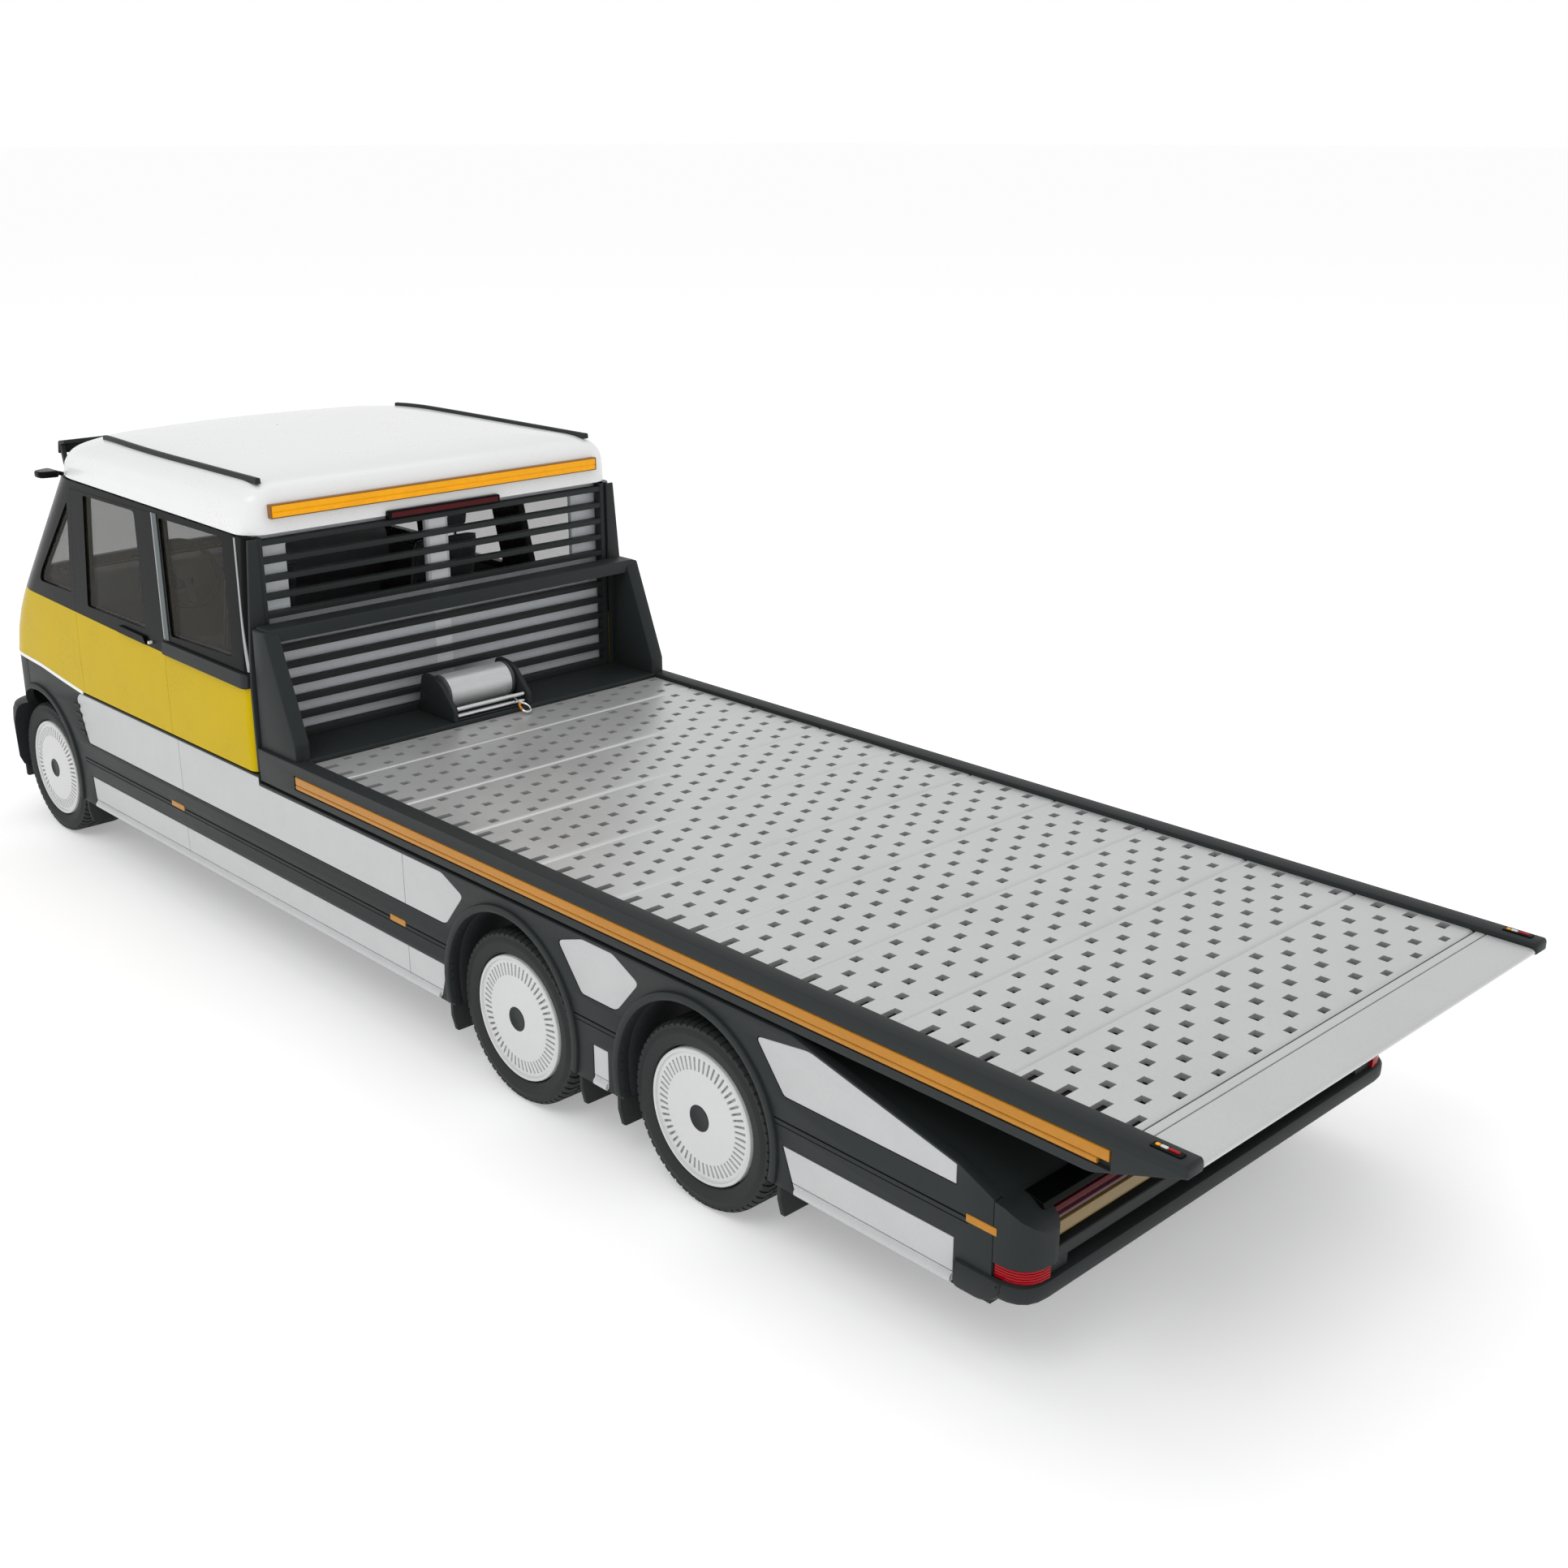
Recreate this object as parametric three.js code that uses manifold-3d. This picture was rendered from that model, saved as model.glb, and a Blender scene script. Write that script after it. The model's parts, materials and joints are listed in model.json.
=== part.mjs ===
// Rollback tow truck, a 1:16 scale model, in millimetres.
// +X points forward, +Y to the left and +Z up. Lengths along X are measured from the front edge
// of the deck plates and heights from their top face. The whole model is moved once, at the end,
// so that its origin lies on the ground under the middle of the truck.
import * as THREE from 'three';
import { mergeVertices } from 'three/addons/utils/BufferGeometryUtils.js';
import Module from 'manifold-3d';

const wasm = await Module();
wasm.setup();

// ---- driving dimensions -------------------------------------------------------------------
const GROUND = -74.8; // deck plates stand this high above the ground
const NOSE_X = 240; // front of the bumper
const TAIL_X = -336.2; // rear edge of the tail plate
const GAP = 0.3; // clearance between neighbouring pieces

const BODY_Y = 78.2; // outer face of the body sides
const SKIN = 3; // thickness of body shells
const INNER_Y = BODY_Y - SKIN;
const BODY_TOP = -10.6; // body sides under the deck
const SILL_Z = -54.5; // lower edge of the body sides
const BODY_REAR = -289;
const BODY_FRONT = 203.5; // body sides end where the nose starts to curve

const AXLE_X = { front: 196.1, mid: -111.6, rear: -190 };
const HUB_Z = -48.5;
const TYRE_SIDES = 24;
const TYRE_R = (HUB_Z - GROUND) / Math.cos(Math.PI / TYRE_SIDES); // the model stands on flats
const TYRE_Y = [57, 76]; // inner and outer face of every tyre
const WHEEL_Y = (TYRE_Y[0] + TYRE_Y[1]) / 2;
const RIM_R = 19;
const RIM_SIDES = 16;
const HUB_HOLLOW_R = 14.5;
const BOSS_R = 4.8;
const STUB_R = 3;
const ARCH_R = 29.2;
const ARCH_Z = -45;
const ARCH_SIDES = 24;
const LINER = 1.4; // thickness of the wheel arch liners
const LINER_Y = 50;

const FRAME_Y = [22, 27]; // chassis rails
const FRAME_Z = [-36, -21.5];
const HINGE = { x: -226, z: -17.5, r: 2, tube: 3.2 };
const TILT_Y = [28, 33]; // tilt frame rails
const TILT_Z = [-16.5, -10.3];

const DECK_Y = 78; // outer face of the deck rails
const PLATE_Y = 72;
const RAIL_Z = [-9.9, 1.4];
const SILL_X = [0.3, 23.2]; // dark front cross sill of the deck
const PLATE_T = 1.4;

const CAB_REAR = 24.6;
const DOOR_X = [82.8, 152.4]; // rear and front seam of the doors at belt height
const DOOR_LEAN = 0.157; // the rear seam leans forward by this much per mm of height
const BELT_Z = 21; // top of the coloured lower cab
const GLASS_Z = 26.5; // lower edge of the windows
const EAVES_Z = 69.4; // top of the window frames
const CAB_SKIRT = -7.6; // lower edge of the coloured cab
const GUARD_X = [24.6, 28.4];
const BACK_X = [29, 31];
const GUARD_Y = 70.4;

// ---- materials ----------------------------------------------------------------------------
const paint = (color, roughness, metalness = 0) =>
  new THREE.MeshStandardMaterial({ color, roughness, metalness });
const BLACK = paint(0x2f3333, 0.5);
const FRAME_BLACK = paint(0x232626, 0.45);
const YELLOW = paint(0xc8b01e, 0.3);
const WHITE = paint(0xe6e6e4, 0.3);
const PANEL_WHITE = paint(0xc8caca, 0.4);
const STEEL = paint(0x55595b, 0.5, 0.6);
const ALUMINIUM = paint(0xc9c9c9, 0.35, 0.7);
const CHROME = paint(0xd8d8d8, 0.15, 1);
const RUBBER = paint(0x2a2a2b, 0.85);
const WALL_GREY = paint(0x8a8d90, 0.6);
const GLASS = paint(0x3a3d3a, 0.08);
const AMBER = paint(0xf5a800, 0.3);
const LAMP_RED = paint(0x6b0d12, 0.25);
const INTERIOR = paint(0x26282b, 0.8);
const SEAT_CLOTH = paint(0x303338, 0.9);

// ---- geometry helpers ---------------------------------------------------------------------
const EX = new THREE.Vector3(1, 0, 0);
const EY = new THREE.Vector3(0, 1, 0);
const EZ = new THREE.Vector3(0, 0, 1);

// Closed triangle mesh to solid, with shared vertices merged and collapsed triangles dropped.
function solid(geometry) {
  for (const name of ['normal', 'uv']) geometry.deleteAttribute(name);
  const merged = mergeVertices(geometry, 1e-4);
  const index = merged.index.array;
  const triangles = [];
  for (let i = 0; i < index.length; i += 3) {
    const [a, b, c] = [index[i], index[i + 1], index[i + 2]];
    if (a !== b && b !== c && c !== a) triangles.push(a, b, c);
  }
  const vertProperties = Float32Array.from(merged.attributes.position.array);
  const triVerts = Uint32Array.from(triangles);
  return new wasm.Manifold(new wasm.Mesh({ numProp: 3, vertProperties, triVerts }));
}

function geometryOf(body) {
  const mesh = body.getMesh();
  const geometry = new THREE.BufferGeometry();
  geometry.setAttribute('position', new THREE.BufferAttribute(mesh.vertProperties, 3));
  geometry.setIndex(new THREE.BufferAttribute(mesh.triVerts, 1));
  return geometry;
}

function mirrored(geometry) {
  const copy = geometry.clone();
  copy.scale(1, -1, 1);
  const index = copy.index.array;
  for (let i = 0; i < index.length; i += 3) [index[i], index[i + 1]] = [index[i + 1], index[i]];
  return copy;
}

const union = (...bodies) => bodies.reduce((sum, body) => sum.add(body));
const cut = (body, ...tools) => tools.reduce((rest, tool) => rest.subtract(tool), body);

function box([x0, x1], [y0, y1], [z0, z1]) {
  const geometry = new THREE.BoxGeometry(x1 - x0, y1 - y0, z1 - z0);
  return solid(geometry.translate((x0 + x1) / 2, (y0 + y1) / 2, (z0 + z1) / 2));
}

// The same box on both sides of the truck's middle plane.
const boxes = (x, [y0, y1], z) => [box(x, [y0, y1], z), box(x, [-y1, -y0], z)];

// Cylinder of radius r along a direction, centred on a point.
function rod(r, length, axis, centre, sides = 16) {
  const geometry = new THREE.CylinderGeometry(r, r, length, sides);
  const turn = new THREE.Quaternion().setFromUnitVectors(EY, axis);
  return solid(geometry.applyQuaternion(turn).translate(...centre));
}

// Outline of corner points, each rounded by its own radius when the point has a third number.
function outline(points) {
  const shape = new THREE.Shape();
  const at = (i) => points[(i + points.length) % points.length];
  points.forEach(([x, y, r = 0], i) => {
    const corner = new THREE.Vector2(x, y);
    const toward = (p) => new THREE.Vector2(p[0], p[1]).sub(corner).normalize();
    const start = corner.clone().addScaledVector(toward(at(i - 1)), r);
    const end = corner.clone().addScaledVector(toward(at(i + 1)), r);
    if (i === 0) shape.moveTo(start.x, start.y);
    else shape.lineTo(start.x, start.y);
    if (r > 0) shape.quadraticCurveTo(x, y, end.x, end.y);
  });
  shape.closePath();
  return shape;
}

function extrude(points, from, to, basis, curveSegments = 2) {
  const options = { depth: to - from, bevelEnabled: false, curveSegments };
  const geometry = new THREE.ExtrudeGeometry(outline(points), options);
  return solid(geometry.translate(0, 0, from).applyMatrix4(basis));
}
// Side view outlines (x, z) run across the truck, front view ones (y, z) along it, and
// plan ones (x, y) upward.
const ACROSS = new THREE.Matrix4().makeBasis(EX, EZ, EY.clone().negate());
const ALONG = new THREE.Matrix4().makeBasis(EY, EZ, EX);
const UPWARD = new THREE.Matrix4();
const sideView = (points, y0, y1, steps) => extrude(points, -y1, -y0, ACROSS, steps);
const frontView = (points, x0, x1, steps) => extrude(points, x0, x1, ALONG, steps);
const planView = (points, z0, z1, steps) => extrude(points, z0, z1, UPWARD, steps);

// Body of revolution round an axis through a centre; the profile is (radius, distance along).
function turned(profile, axis, centre, sides) {
  const points = profile.map(([r, h]) => new THREE.Vector2(r, h));
  const geometry = new THREE.LatheGeometry(points, sides, Math.PI / sides);
  const turn = new THREE.Quaternion().setFromUnitVectors(EY, axis);
  return solid(geometry.applyQuaternion(turn).translate(...centre));
}

// Closed body through rings of equal point count, each counter-clockwise from above.
function loft(rings) {
  const count = rings[0].length;
  const index = [];
  for (let k = 0; k + 1 < rings.length; k++) {
    for (let i = 0; i < count; i++) {
      const [a, b] = [k * count + i, k * count + ((i + 1) % count)];
      index.push(a, b, b + count, a, b + count, a + count);
    }
  }
  const top = (rings.length - 1) * count;
  for (let i = 1; i + 1 < count; i++) index.push(0, i + 1, i, top, top + i, top + i + 1);
  const geometry = new THREE.BufferGeometry().setFromPoints(rings.flat());
  geometry.setIndex(index);
  return solid(geometry);
}

// Plan ring of the cab at one height: rounded corners, and a nose that bows out in the middle.
function cabRing({
  z, nose, half, inset = 0, rear = CAB_REAR, noseR = 26, rearR = 4, bow = 4, rise = 0,
}) {
  const points = [];
  const [front, back, side] = [nose - inset, rear + inset, half - inset];
  const [frontR, backR] = [noseR - inset, Math.max(rearR - inset, 0.5)];
  const corner = (x, y, r, fromAngle, steps) => {
    for (let k = 0; k <= steps; k++) {
      const angle = THREE.MathUtils.degToRad(fromAngle + (90 * k) / steps);
      points.push([x + r * Math.cos(angle), y + r * Math.sin(angle)]);
    }
  };
  corner(front - frontR, frontR - side, frontR, -90, 5);
  for (const share of [-0.5, 0, 0.5]) {
    points.push([front, share * 2 * (side - frontR)]);
  }
  corner(front - frontR, side - frontR, frontR, 0, 5);
  corner(back + backR, side - backR, backR, 90, 3);
  corner(back + backR, backR - side, backR, 180, 3);
  const straight = side - frontR;
  return points.map(([x, y]) => {
    const bulge = Math.abs(y) < straight && x > front - 1 ? 1 - (y / straight) ** 2 : 0;
    return new THREE.Vector3(x + bow * bulge, y, z + rise * (x - CAB_REAR));
  });
}

const truck = new THREE.Group();
const parts = new Map();

function add(name, geometry, material) {
  const mesh = new THREE.Mesh(geometry, material);
  mesh.name = name;
  parts.set(name, mesh);
  truck.add(mesh);
}
const addSolid = (name, body, material) => add(name, geometryOf(body), material);
// A piece modelled for the left side, and its mirror image on the right.
function addPair(stem, body, material) {
  const left = geometryOf(body);
  add(`${stem}_left`, left, material);
  add(`${stem}_right`, mirrored(left), material);
}

// ---- wheels -------------------------------------------------------------------------------
const tyreProfile = () => {
  const [inner, outer] = TYRE_Y.map((y) => y - WHEEL_Y);
  return [
    [RIM_R + GAP, inner + 1.5], [RIM_R + 2, inner], [TYRE_R - 2, inner], [TYRE_R, inner + 2.6],
    [TYRE_R, outer - 2.6], [TYRE_R - 2, outer], [RIM_R + 2, outer], [RIM_R + GAP, outer - 1.5],
    [RIM_R + GAP, inner + 1.5],
  ];
};

// Disc wheel: closed dished face outside, open barrel inside, and a boss with a blind bore.
const rimProfile = () => {
  const [inner, outer] = TYRE_Y.map((y) => y - WHEEL_Y);
  const face = outer - 1;
  return [
    [0, face - 2], [STUB_R + GAP, face - 2], [STUB_R + GAP, face - 5], [BOSS_R, face - 5],
    [BOSS_R, face - 3], [HUB_HOLLOW_R, face - 3], [HUB_HOLLOW_R, inner + 2], [RIM_R, inner + 2],
    [RIM_R, face + 0.5], [RIM_R - 1.2, face + 0.5], [RIM_R - 1.8, face - 0.3], [3.9, face + 0.6],
    [0, face + 0.6],
  ];
};

for (const [axle, x] of Object.entries(AXLE_X)) {
  const centre = [x, WHEEL_Y, HUB_Z];
  addPair(`tyre_${axle}`, turned(tyreProfile(), EY, centre, TYRE_SIDES), RUBBER);
  addPair(`rim_${axle}`, turned(rimProfile(), EY, centre, RIM_SIDES), WHITE);
}

// ---- running gear -------------------------------------------------------------------------
const BEAM = 4; // half height and half width of the axle beams
const KINGPIN_R = 1.6;
const FORK_Z = [5.3, 8]; // lugs above and below the steering knuckle

// Pads stand on a beam and carry the chassis rails.
const springPads = (x) => boxes([x - 6, x + 6], [21, 28], [HUB_Z + BEAM - 0.5, FRAME_Z[0] - GAP]);

function frontAxle() {
  const x = AXLE_X.front;
  const beam = box([x - BEAM, x + BEAM], [-52, 52], [HUB_Z - BEAM, HUB_Z + BEAM]);
  const ends = [];
  for (const side of [1, -1]) {
    const yoke = side > 0 ? [49, 53] : [-53, -49];
    const lug = side > 0 ? [49, WHEEL_Y + 2] : [-WHEEL_Y - 2, -49];
    ends.push(box([x - BEAM, x + BEAM], yoke, [HUB_Z - FORK_Z[1], HUB_Z + FORK_Z[1]]));
    ends.push(box([x - 3, x + 3], lug, [HUB_Z + FORK_Z[0], HUB_Z + FORK_Z[1]]));
    ends.push(box([x - 3, x + 3], lug, [HUB_Z - FORK_Z[1], HUB_Z - FORK_Z[0]]));
  }
  const bores = [WHEEL_Y, -WHEEL_Y].map((y) => rod(KINGPIN_R + GAP, 30, EZ, [x, y, HUB_Z], 12));
  return cut(union(beam, ...ends, ...springPads(x)), ...bores);
}

// Knuckle with its kingpin in the wheel's middle plane, and the stub that the wheel turns on.
function knuckle() {
  const [x, y] = [AXLE_X.front, WHEEL_Y];
  const block = box([x - 3, x + 3], [y - 3, y + 3], [HUB_Z - 5, HUB_Z + 5]);
  const kingpin = rod(KINGPIN_R, 15.4, EZ, [x, y, HUB_Z], 12);
  const stubEnd = TYRE_Y[1] - 3.5;
  const stub = rod(STUB_R, stubEnd - y, EY, [x, (stubEnd + y) / 2, HUB_Z], 12);
  return union(block, kingpin, stub);
}

// Two live axle tubes tied together by walking beams.
function rearBogie() {
  const [mid, rear] = [AXLE_X.mid, AXLE_X.rear];
  const stubEnd = TYRE_Y[1] - 3.5;
  const pieces = [mid, rear].flatMap((x) => [
    rod(4.2, 2 * (WHEEL_Y - 4), EY, [x, 0, HUB_Z], 10),
    rod(STUB_R, 2 * stubEnd, EY, [x, 0, HUB_Z], 10),
    turned([[0, -9], [6, -8], [9.5, -4], [9.5, 4], [6, 8], [0, 9]], EY, [x, 0, HUB_Z], 10),
    ...springPads(x),
  ]);
  const beams = boxes([rear - 3, mid + 3], [42, 46], [HUB_Z - 2.5, HUB_Z + 2.5]);
  return union(...pieces, ...beams);
}

const OUTRIGGERS_X = [150, 60, -20, -150.8, -256];
const OUTRIGGER_Y = 73;

function chassisFrame() {
  const rails = boxes([-282, 216], FRAME_Y, FRAME_Z);
  const outriggers = OUTRIGGERS_X.map((x) =>
    box([x - 2, x + 2], [-OUTRIGGER_Y, OUTRIGGER_Y], [-31.5, -26.5]));
  const crossMembers = [212, 100, -62, -224].map((x) => box([x - 3, x + 3], [-23, 23], [-34, -23]));
  const lugs = boxes([HINGE.x - 4, HINGE.x + 4], [34, 37.5], [-31, HINGE.z + 4.5]);
  const lugFeet = boxes([HINGE.x - 16, HINGE.x + 4], [26.5, 37.5], [-31.5, -26.5]);
  const bore = rod(HINGE.r + GAP, 90, EY, [HINGE.x, 0, HINGE.z]);
  return cut(union(...rails, ...outriggers, ...crossMembers, ...lugs, ...lugFeet), bore);
}

addSolid('chassis_frame', chassisFrame(), STEEL);
addSolid('front_axle', frontAxle(), STEEL);
addSolid('rear_bogie', rearBogie(), STEEL);
addPair('knuckle', knuckle(), STEEL);

// ---- body sides ---------------------------------------------------------------------------
const SHEET_Y = [73.4, 74.9]; // backing sheet of the white inlays, behind the black skin
const ARCHES_X = Object.values(AXLE_X);
const archBore = (x, r, y0, y1) => rod(r, y1 - y0, EY, [x, (y0 + y1) / 2, ARCH_Z], ARCH_SIDES);

// Lower edge of the coloured cab, which rises toward the nose.
const SKIRT_BREAK_X = 154;
const SKIRT_RISE = 0.088;
const skirtZ = (x) => CAB_SKIRT + Math.max(0, x - SKIRT_BREAK_X) * SKIRT_RISE;

// White inlays as (x, z) outlines: above the black stripe, and below it down to the sill.
const INLAYS = [
  [[161.5, -11.5, 2], [154.7, -28, 1], [-81.4, -28, 2], [-91.2, -16.2, 2], [-80.6, -11.6, 1],
    [24, -11.6], [24, -8.9], [158, -8.9, 1]],
  [[-135.3, -15.2, 2], [-145.3, -28, 1], [-160.1, -28, 2], [-169.7, -16.8, 2], [-159, -11.6, 1],
    [-146, -11.6, 1]],
  [[-213.5, -15.2, 2], [-223.5, -28, 1], [-278.2, -28], [-278.2, -24.6], [-232, -13.2, 2]],
  [[155.6, -41.5], [151.5, -54, 1], [-77, -54, 1], [-80.6, -41.5]],
  [[-149.5, -41.5], [-149.5, -54], [-155.8, -54], [-155.8, -41.5]],
  [[-223, -41.5], [-227.5, -54, 1], [-278, -54], [-278, -41.5]],
];
const WINDOW_GAP = 0.3;

// Outline with every edge moved inward, for a pad that stands in a window with clearance.
function shrunk(points, by) {
  const count = points.length;
  const corners = points.map(([x, z]) => new THREE.Vector2(x, z));
  const turn = THREE.ShapeUtils.isClockWise(corners) ? -1 : 1;
  const inward = corners.map((corner, i) => {
    const edge = corners[(i + 1) % count].clone().sub(corner).normalize();
    return new THREE.Vector2(-edge.y * turn, edge.x * turn);
  });
  return corners.map((corner, i) => {
    const [before, after] = [inward[(i + count - 1) % count], inward[i]];
    const shift = before.clone().add(after).multiplyScalar(by / (1 + before.dot(after)));
    return [corner.x + shift.x, corner.y + shift.y, points[i][2] ?? 0];
  });
}

function bodySide() {
  const skin = sideView([
    [BODY_FRONT, SILL_Z], [BODY_REAR, SILL_Z], [BODY_REAR, -26.8], [HINGE.x, BODY_TOP],
    [CAB_REAR - 1, BODY_TOP], [CAB_REAR - 1, CAB_SKIRT - 0.6],
    [SKIRT_BREAK_X, CAB_SKIRT - 0.6], [BODY_FRONT, skirtZ(BODY_FRONT) - 0.6],
  ], INNER_Y, BODY_Y);
  const liners = ARCHES_X.map((x) => archBore(x, ARCH_R + LINER, LINER_Y, INNER_Y + 0.5));
  const flares = ARCHES_X.map((x) => archBore(x, ARCH_R + 1.6, INNER_Y, BODY_Y + 0.6));
  const above = box([-400, 300], [40, 90], [-14.2, 20]);
  const below = box([-400, 300], [40, 90], [-90, SILL_Z]);
  const ahead = box([BODY_FRONT, 300], [40, 90], [-90, 20]);
  const wells = cut(union(...liners, ...flares), above, below, ahead);
  const flapsX = ARCHES_X.flatMap((x) => [x - 31, x + 31]).filter((x) => x < BODY_FRONT);
  const flaps = flapsX.map((x) => box([x - 0.9, x + 0.9], [62, 77], [-63.5, SILL_Z + 8]));
  const hollows = ARCHES_X.map((x) => archBore(x, ARCH_R, LINER_Y - 1, BODY_Y + 2));
  const windows = INLAYS.map((points) => sideView(points, INNER_Y - 1, BODY_Y + 1));
  return union(cut(union(skin, wells), ...hollows, ...windows), ...flaps);
}

function sideInlay() {
  const pads = INLAYS.map((points) => sideView(shrunk(points, WINDOW_GAP), SHEET_Y[0], BODY_Y));
  const [sheet0, sheet1] = SHEET_Y;
  const front = sideView([[157, -9.2], [153.5, -28], [150.5, -53], [-76, -53], [-81, -28],
    [-90, -16.5], [-90, -11.9], [24.3, -11.9], [24.3, -9.2]], sheet0, sheet1);
  const strip = box([-224, -88], [sheet0, sheet1], [-13.9, -11.9]);
  const middle = box([-157, -144.5], [sheet0, sheet1], [-53, -12]);
  const rear = sideView([[-220, -11.9], [-232, -13.5], [-277, -24.8], [-277, -53], [-228, -53],
    [-224.5, -28], [-216, -15]], sheet0, sheet1);
  return union(front, strip, middle, rear, ...pads);
}

addPair('body_side', bodySide(), BLACK);
addPair('side_inlay', sideInlay(), PANEL_WHITE);

// ---- rear of the chassis ------------------------------------------------------------------
const BLOCK_X = [-300, BODY_REAR - 0.3]; // corner blocks behind the body sides
const BUMPER_X = -298.4;
const LAMP_BAR_X = [-296, -293];

// Sloped top covers on both sides, the rear wall between them and the rounded corner blocks.
function rearCover() {
  const cover = sideView([[-222, BODY_TOP - 0.6], [BODY_REAR, -27.4], [BODY_REAR, -30], [-222, -14]],
    46, OUTRIGGER_Y);
  const covers = [cover, solid(mirrored(geometryOf(cover)))];
  const wall = box([-292, BODY_REAR], [-OUTRIGGER_Y, OUTRIGGER_Y], [-50, -28]);
  const block = planView([
    [BLOCK_X[1], BODY_Y], [BLOCK_X[0], BODY_Y, 9], [BLOCK_X[0], 62, 2], [BLOCK_X[1], 62],
  ], -44.6, -28.6, 5);
  const blocks = [block, solid(mirrored(geometryOf(block)))];
  const bridge = box([-292, BLOCK_X[1] + 0.1], [-BODY_Y + 4, BODY_Y - 4], [-44.6, -28.6]);
  const lampSeat = box([LAMP_BAR_X[1], -291], [-61, 61], [-44.6, -24.5]);
  return union(...covers, wall, ...blocks, bridge, lampSeat);
}

// Wrap-round bumper with a pocket at each corner for the lamps.
function rearBumper() {
  const ring = planView([
    [-278.8, BODY_Y], [BUMPER_X, BODY_Y, 8], [BUMPER_X, -BODY_Y, 8], [-278.8, -BODY_Y], [-278.8, -75],
    [-295, -75], [-295, 75], [-278.8, 75],
  ], -52.8, -45.2, 5);
  const keep = box([-400, BODY_REAR - 0.3], [-90, 90], [-60, -44]);
  const cross = box([BUMPER_X + 1, -292.3], [-70, 70], [-52.8, -45.2]);
  return union(ring.intersect(keep), cross);
}

addSolid('rear_cover', rearCover(), BLACK);
addSolid('rear_bumper', rearBumper(), BLACK);
addSolid('rear_lamp_bar', box([LAMP_BAR_X[0], LAMP_BAR_X[1] - GAP], [-60.5, 60.5], [-43.5, -24.5]),
  LAMP_RED);

// ---- cab shell ----------------------------------------------------------------------------
// Outer rings of the cab, from the skirt to the window frames' top.
const CAB_RINGS = [
  { z: -12, nose: 232, half: BODY_Y }, { z: 6, nose: 228, half: BODY_Y },
  { z: BELT_Z, nose: 219.5, half: 77.8 }, { z: EAVES_Z, nose: 181.5, half: 74 },
];
const cabLoft = (rings, inset) => loft(rings.map((ring) => cabRing({ ...ring, inset })));
const stretched = (rings) => {
  const [first, last] = [rings[0], rings[rings.length - 1]];
  return [{ ...first, z: first.z - 2 }, ...rings, { ...last, z: last.z + 2 }];
};
const cabShell = (rings) => cabLoft(rings, 0).subtract(cabLoft(stretched(rings), SKIN));

const doorSeam = (z) => DOOR_X[0] + Math.max(0, z - GLASS_Z) * DOOR_LEAN;
const doorOutline = (gap) => [
  [DOOR_X[0] + gap, CAB_SKIRT], [DOOR_X[1] - gap, CAB_SKIRT],
  [DOOR_X[1] - gap, EAVES_Z - 0.9 - gap], [doorSeam(EAVES_Z) + gap, EAVES_Z - 0.9 - gap],
  [DOOR_X[0] + gap, GLASS_Z],
];
const doorWay = (y0) => [sideView(doorOutline(0), y0, 90), sideView(doorOutline(0), -90, -y0)];

// Coloured lower shell: nose, rear quarters and the inner sills that join them under the doors.
function cabLower() {
  const [skirt, middle, belt] = CAB_RINGS;
  const shell = cabShell([skirt, middle, { ...belt, z: BELT_Z }]);
  const below = sideView([[10, -20], [10, CAB_SKIRT], [SKIRT_BREAK_X, CAB_SKIRT], [250, skirtZ(250)],
    [250, -20]], -90, 90);
  const sills = boxes([CAB_REAR + SKIN + 1, 204], [70.5, INNER_Y + 0.5], [CAB_SKIRT, CAB_SKIRT + 3]);
  const bayY = GUARD_Y + GAP;
  const guardBay = box([CAB_REAR - 1, CAB_REAR + SKIN + 0.9], [-bayY, bayY], [-20, 40]);
  return cut(union(shell, ...sills), below, ...doorWay(INNER_Y - 0.8), guardBay);
}

const SIDE_GLASS = {
  quarter: [[DOOR_X[1] + 2.6, 63, 1], [DOOR_X[1] + 2.6, 29], [181, 29, 2], [180, 33, 2]],
  rear: [[77.2, GLASS_Z + 1, 1], [83.6, 67.8, 1], [42.5, 67.8, 1], [36.5, GLASS_Z + 1, 1]],
};
const bothSides = (points, y0) => [sideView(points, y0, 90), sideView(points, -90, -y0)];
const WINDSCREEN = [[-64, 29, 5], [64, 29, 5], [59, 66, 4], [-59, 66, 4]];

const MIRROR = { x: 161.2, y: 75.4, z: [72.4, 74.9] };

// Black window frame of the cab with all its openings.
function cabFrame() {
  const rings = [{ ...CAB_RINGS[2], z: BELT_Z + GAP }, CAB_RINGS[3]];
  const shell = cabShell(rings);
  const screen = frontView(WINDSCREEN, 150, 260);
  const back = box([0, CAB_REAR + SKIN + 1.2], [-GUARD_Y - GAP, GUARD_Y + GAP], [10, 90]);
  const arms = [1, -1].map((side) => {
    const reach = side > 0 ? [71.6, 76.4] : [-76.4, -71.6];
    const foot = box([160, 162.4], reach, [64.6, 67]);
    return foot.add(rod(0.8, 8, EZ, [MIRROR.x, side * MIRROR.y, 70], 8));
  });
  const openings = [...bothSides(SIDE_GLASS.quarter, 65), ...bothSides(SIDE_GLASS.rear, 65)];
  return union(cut(shell, screen, back, ...openings, ...doorWay(66)), ...arms);
}
// One wrap-round pane lines the windscreen and both quarter windows from inside.
function frontGlass() {
  const rings = [{ ...CAB_RINGS[2], z: GLASS_Z }, { ...CAB_RINGS[3], z: 68 }];
  rings[0].nose -= 4.6;
  rings[0].half -= 0.5;
  rings[1].nose += 0.8;
  const pane = cabLoft(rings, SKIN + GAP).subtract(cabLoft(stretched(rings), SKIN + GAP + 1.2));
  return pane.subtract(box([0, DOOR_X[1] + 1.2], [-90, 90], [0, 90]));
}

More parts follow.
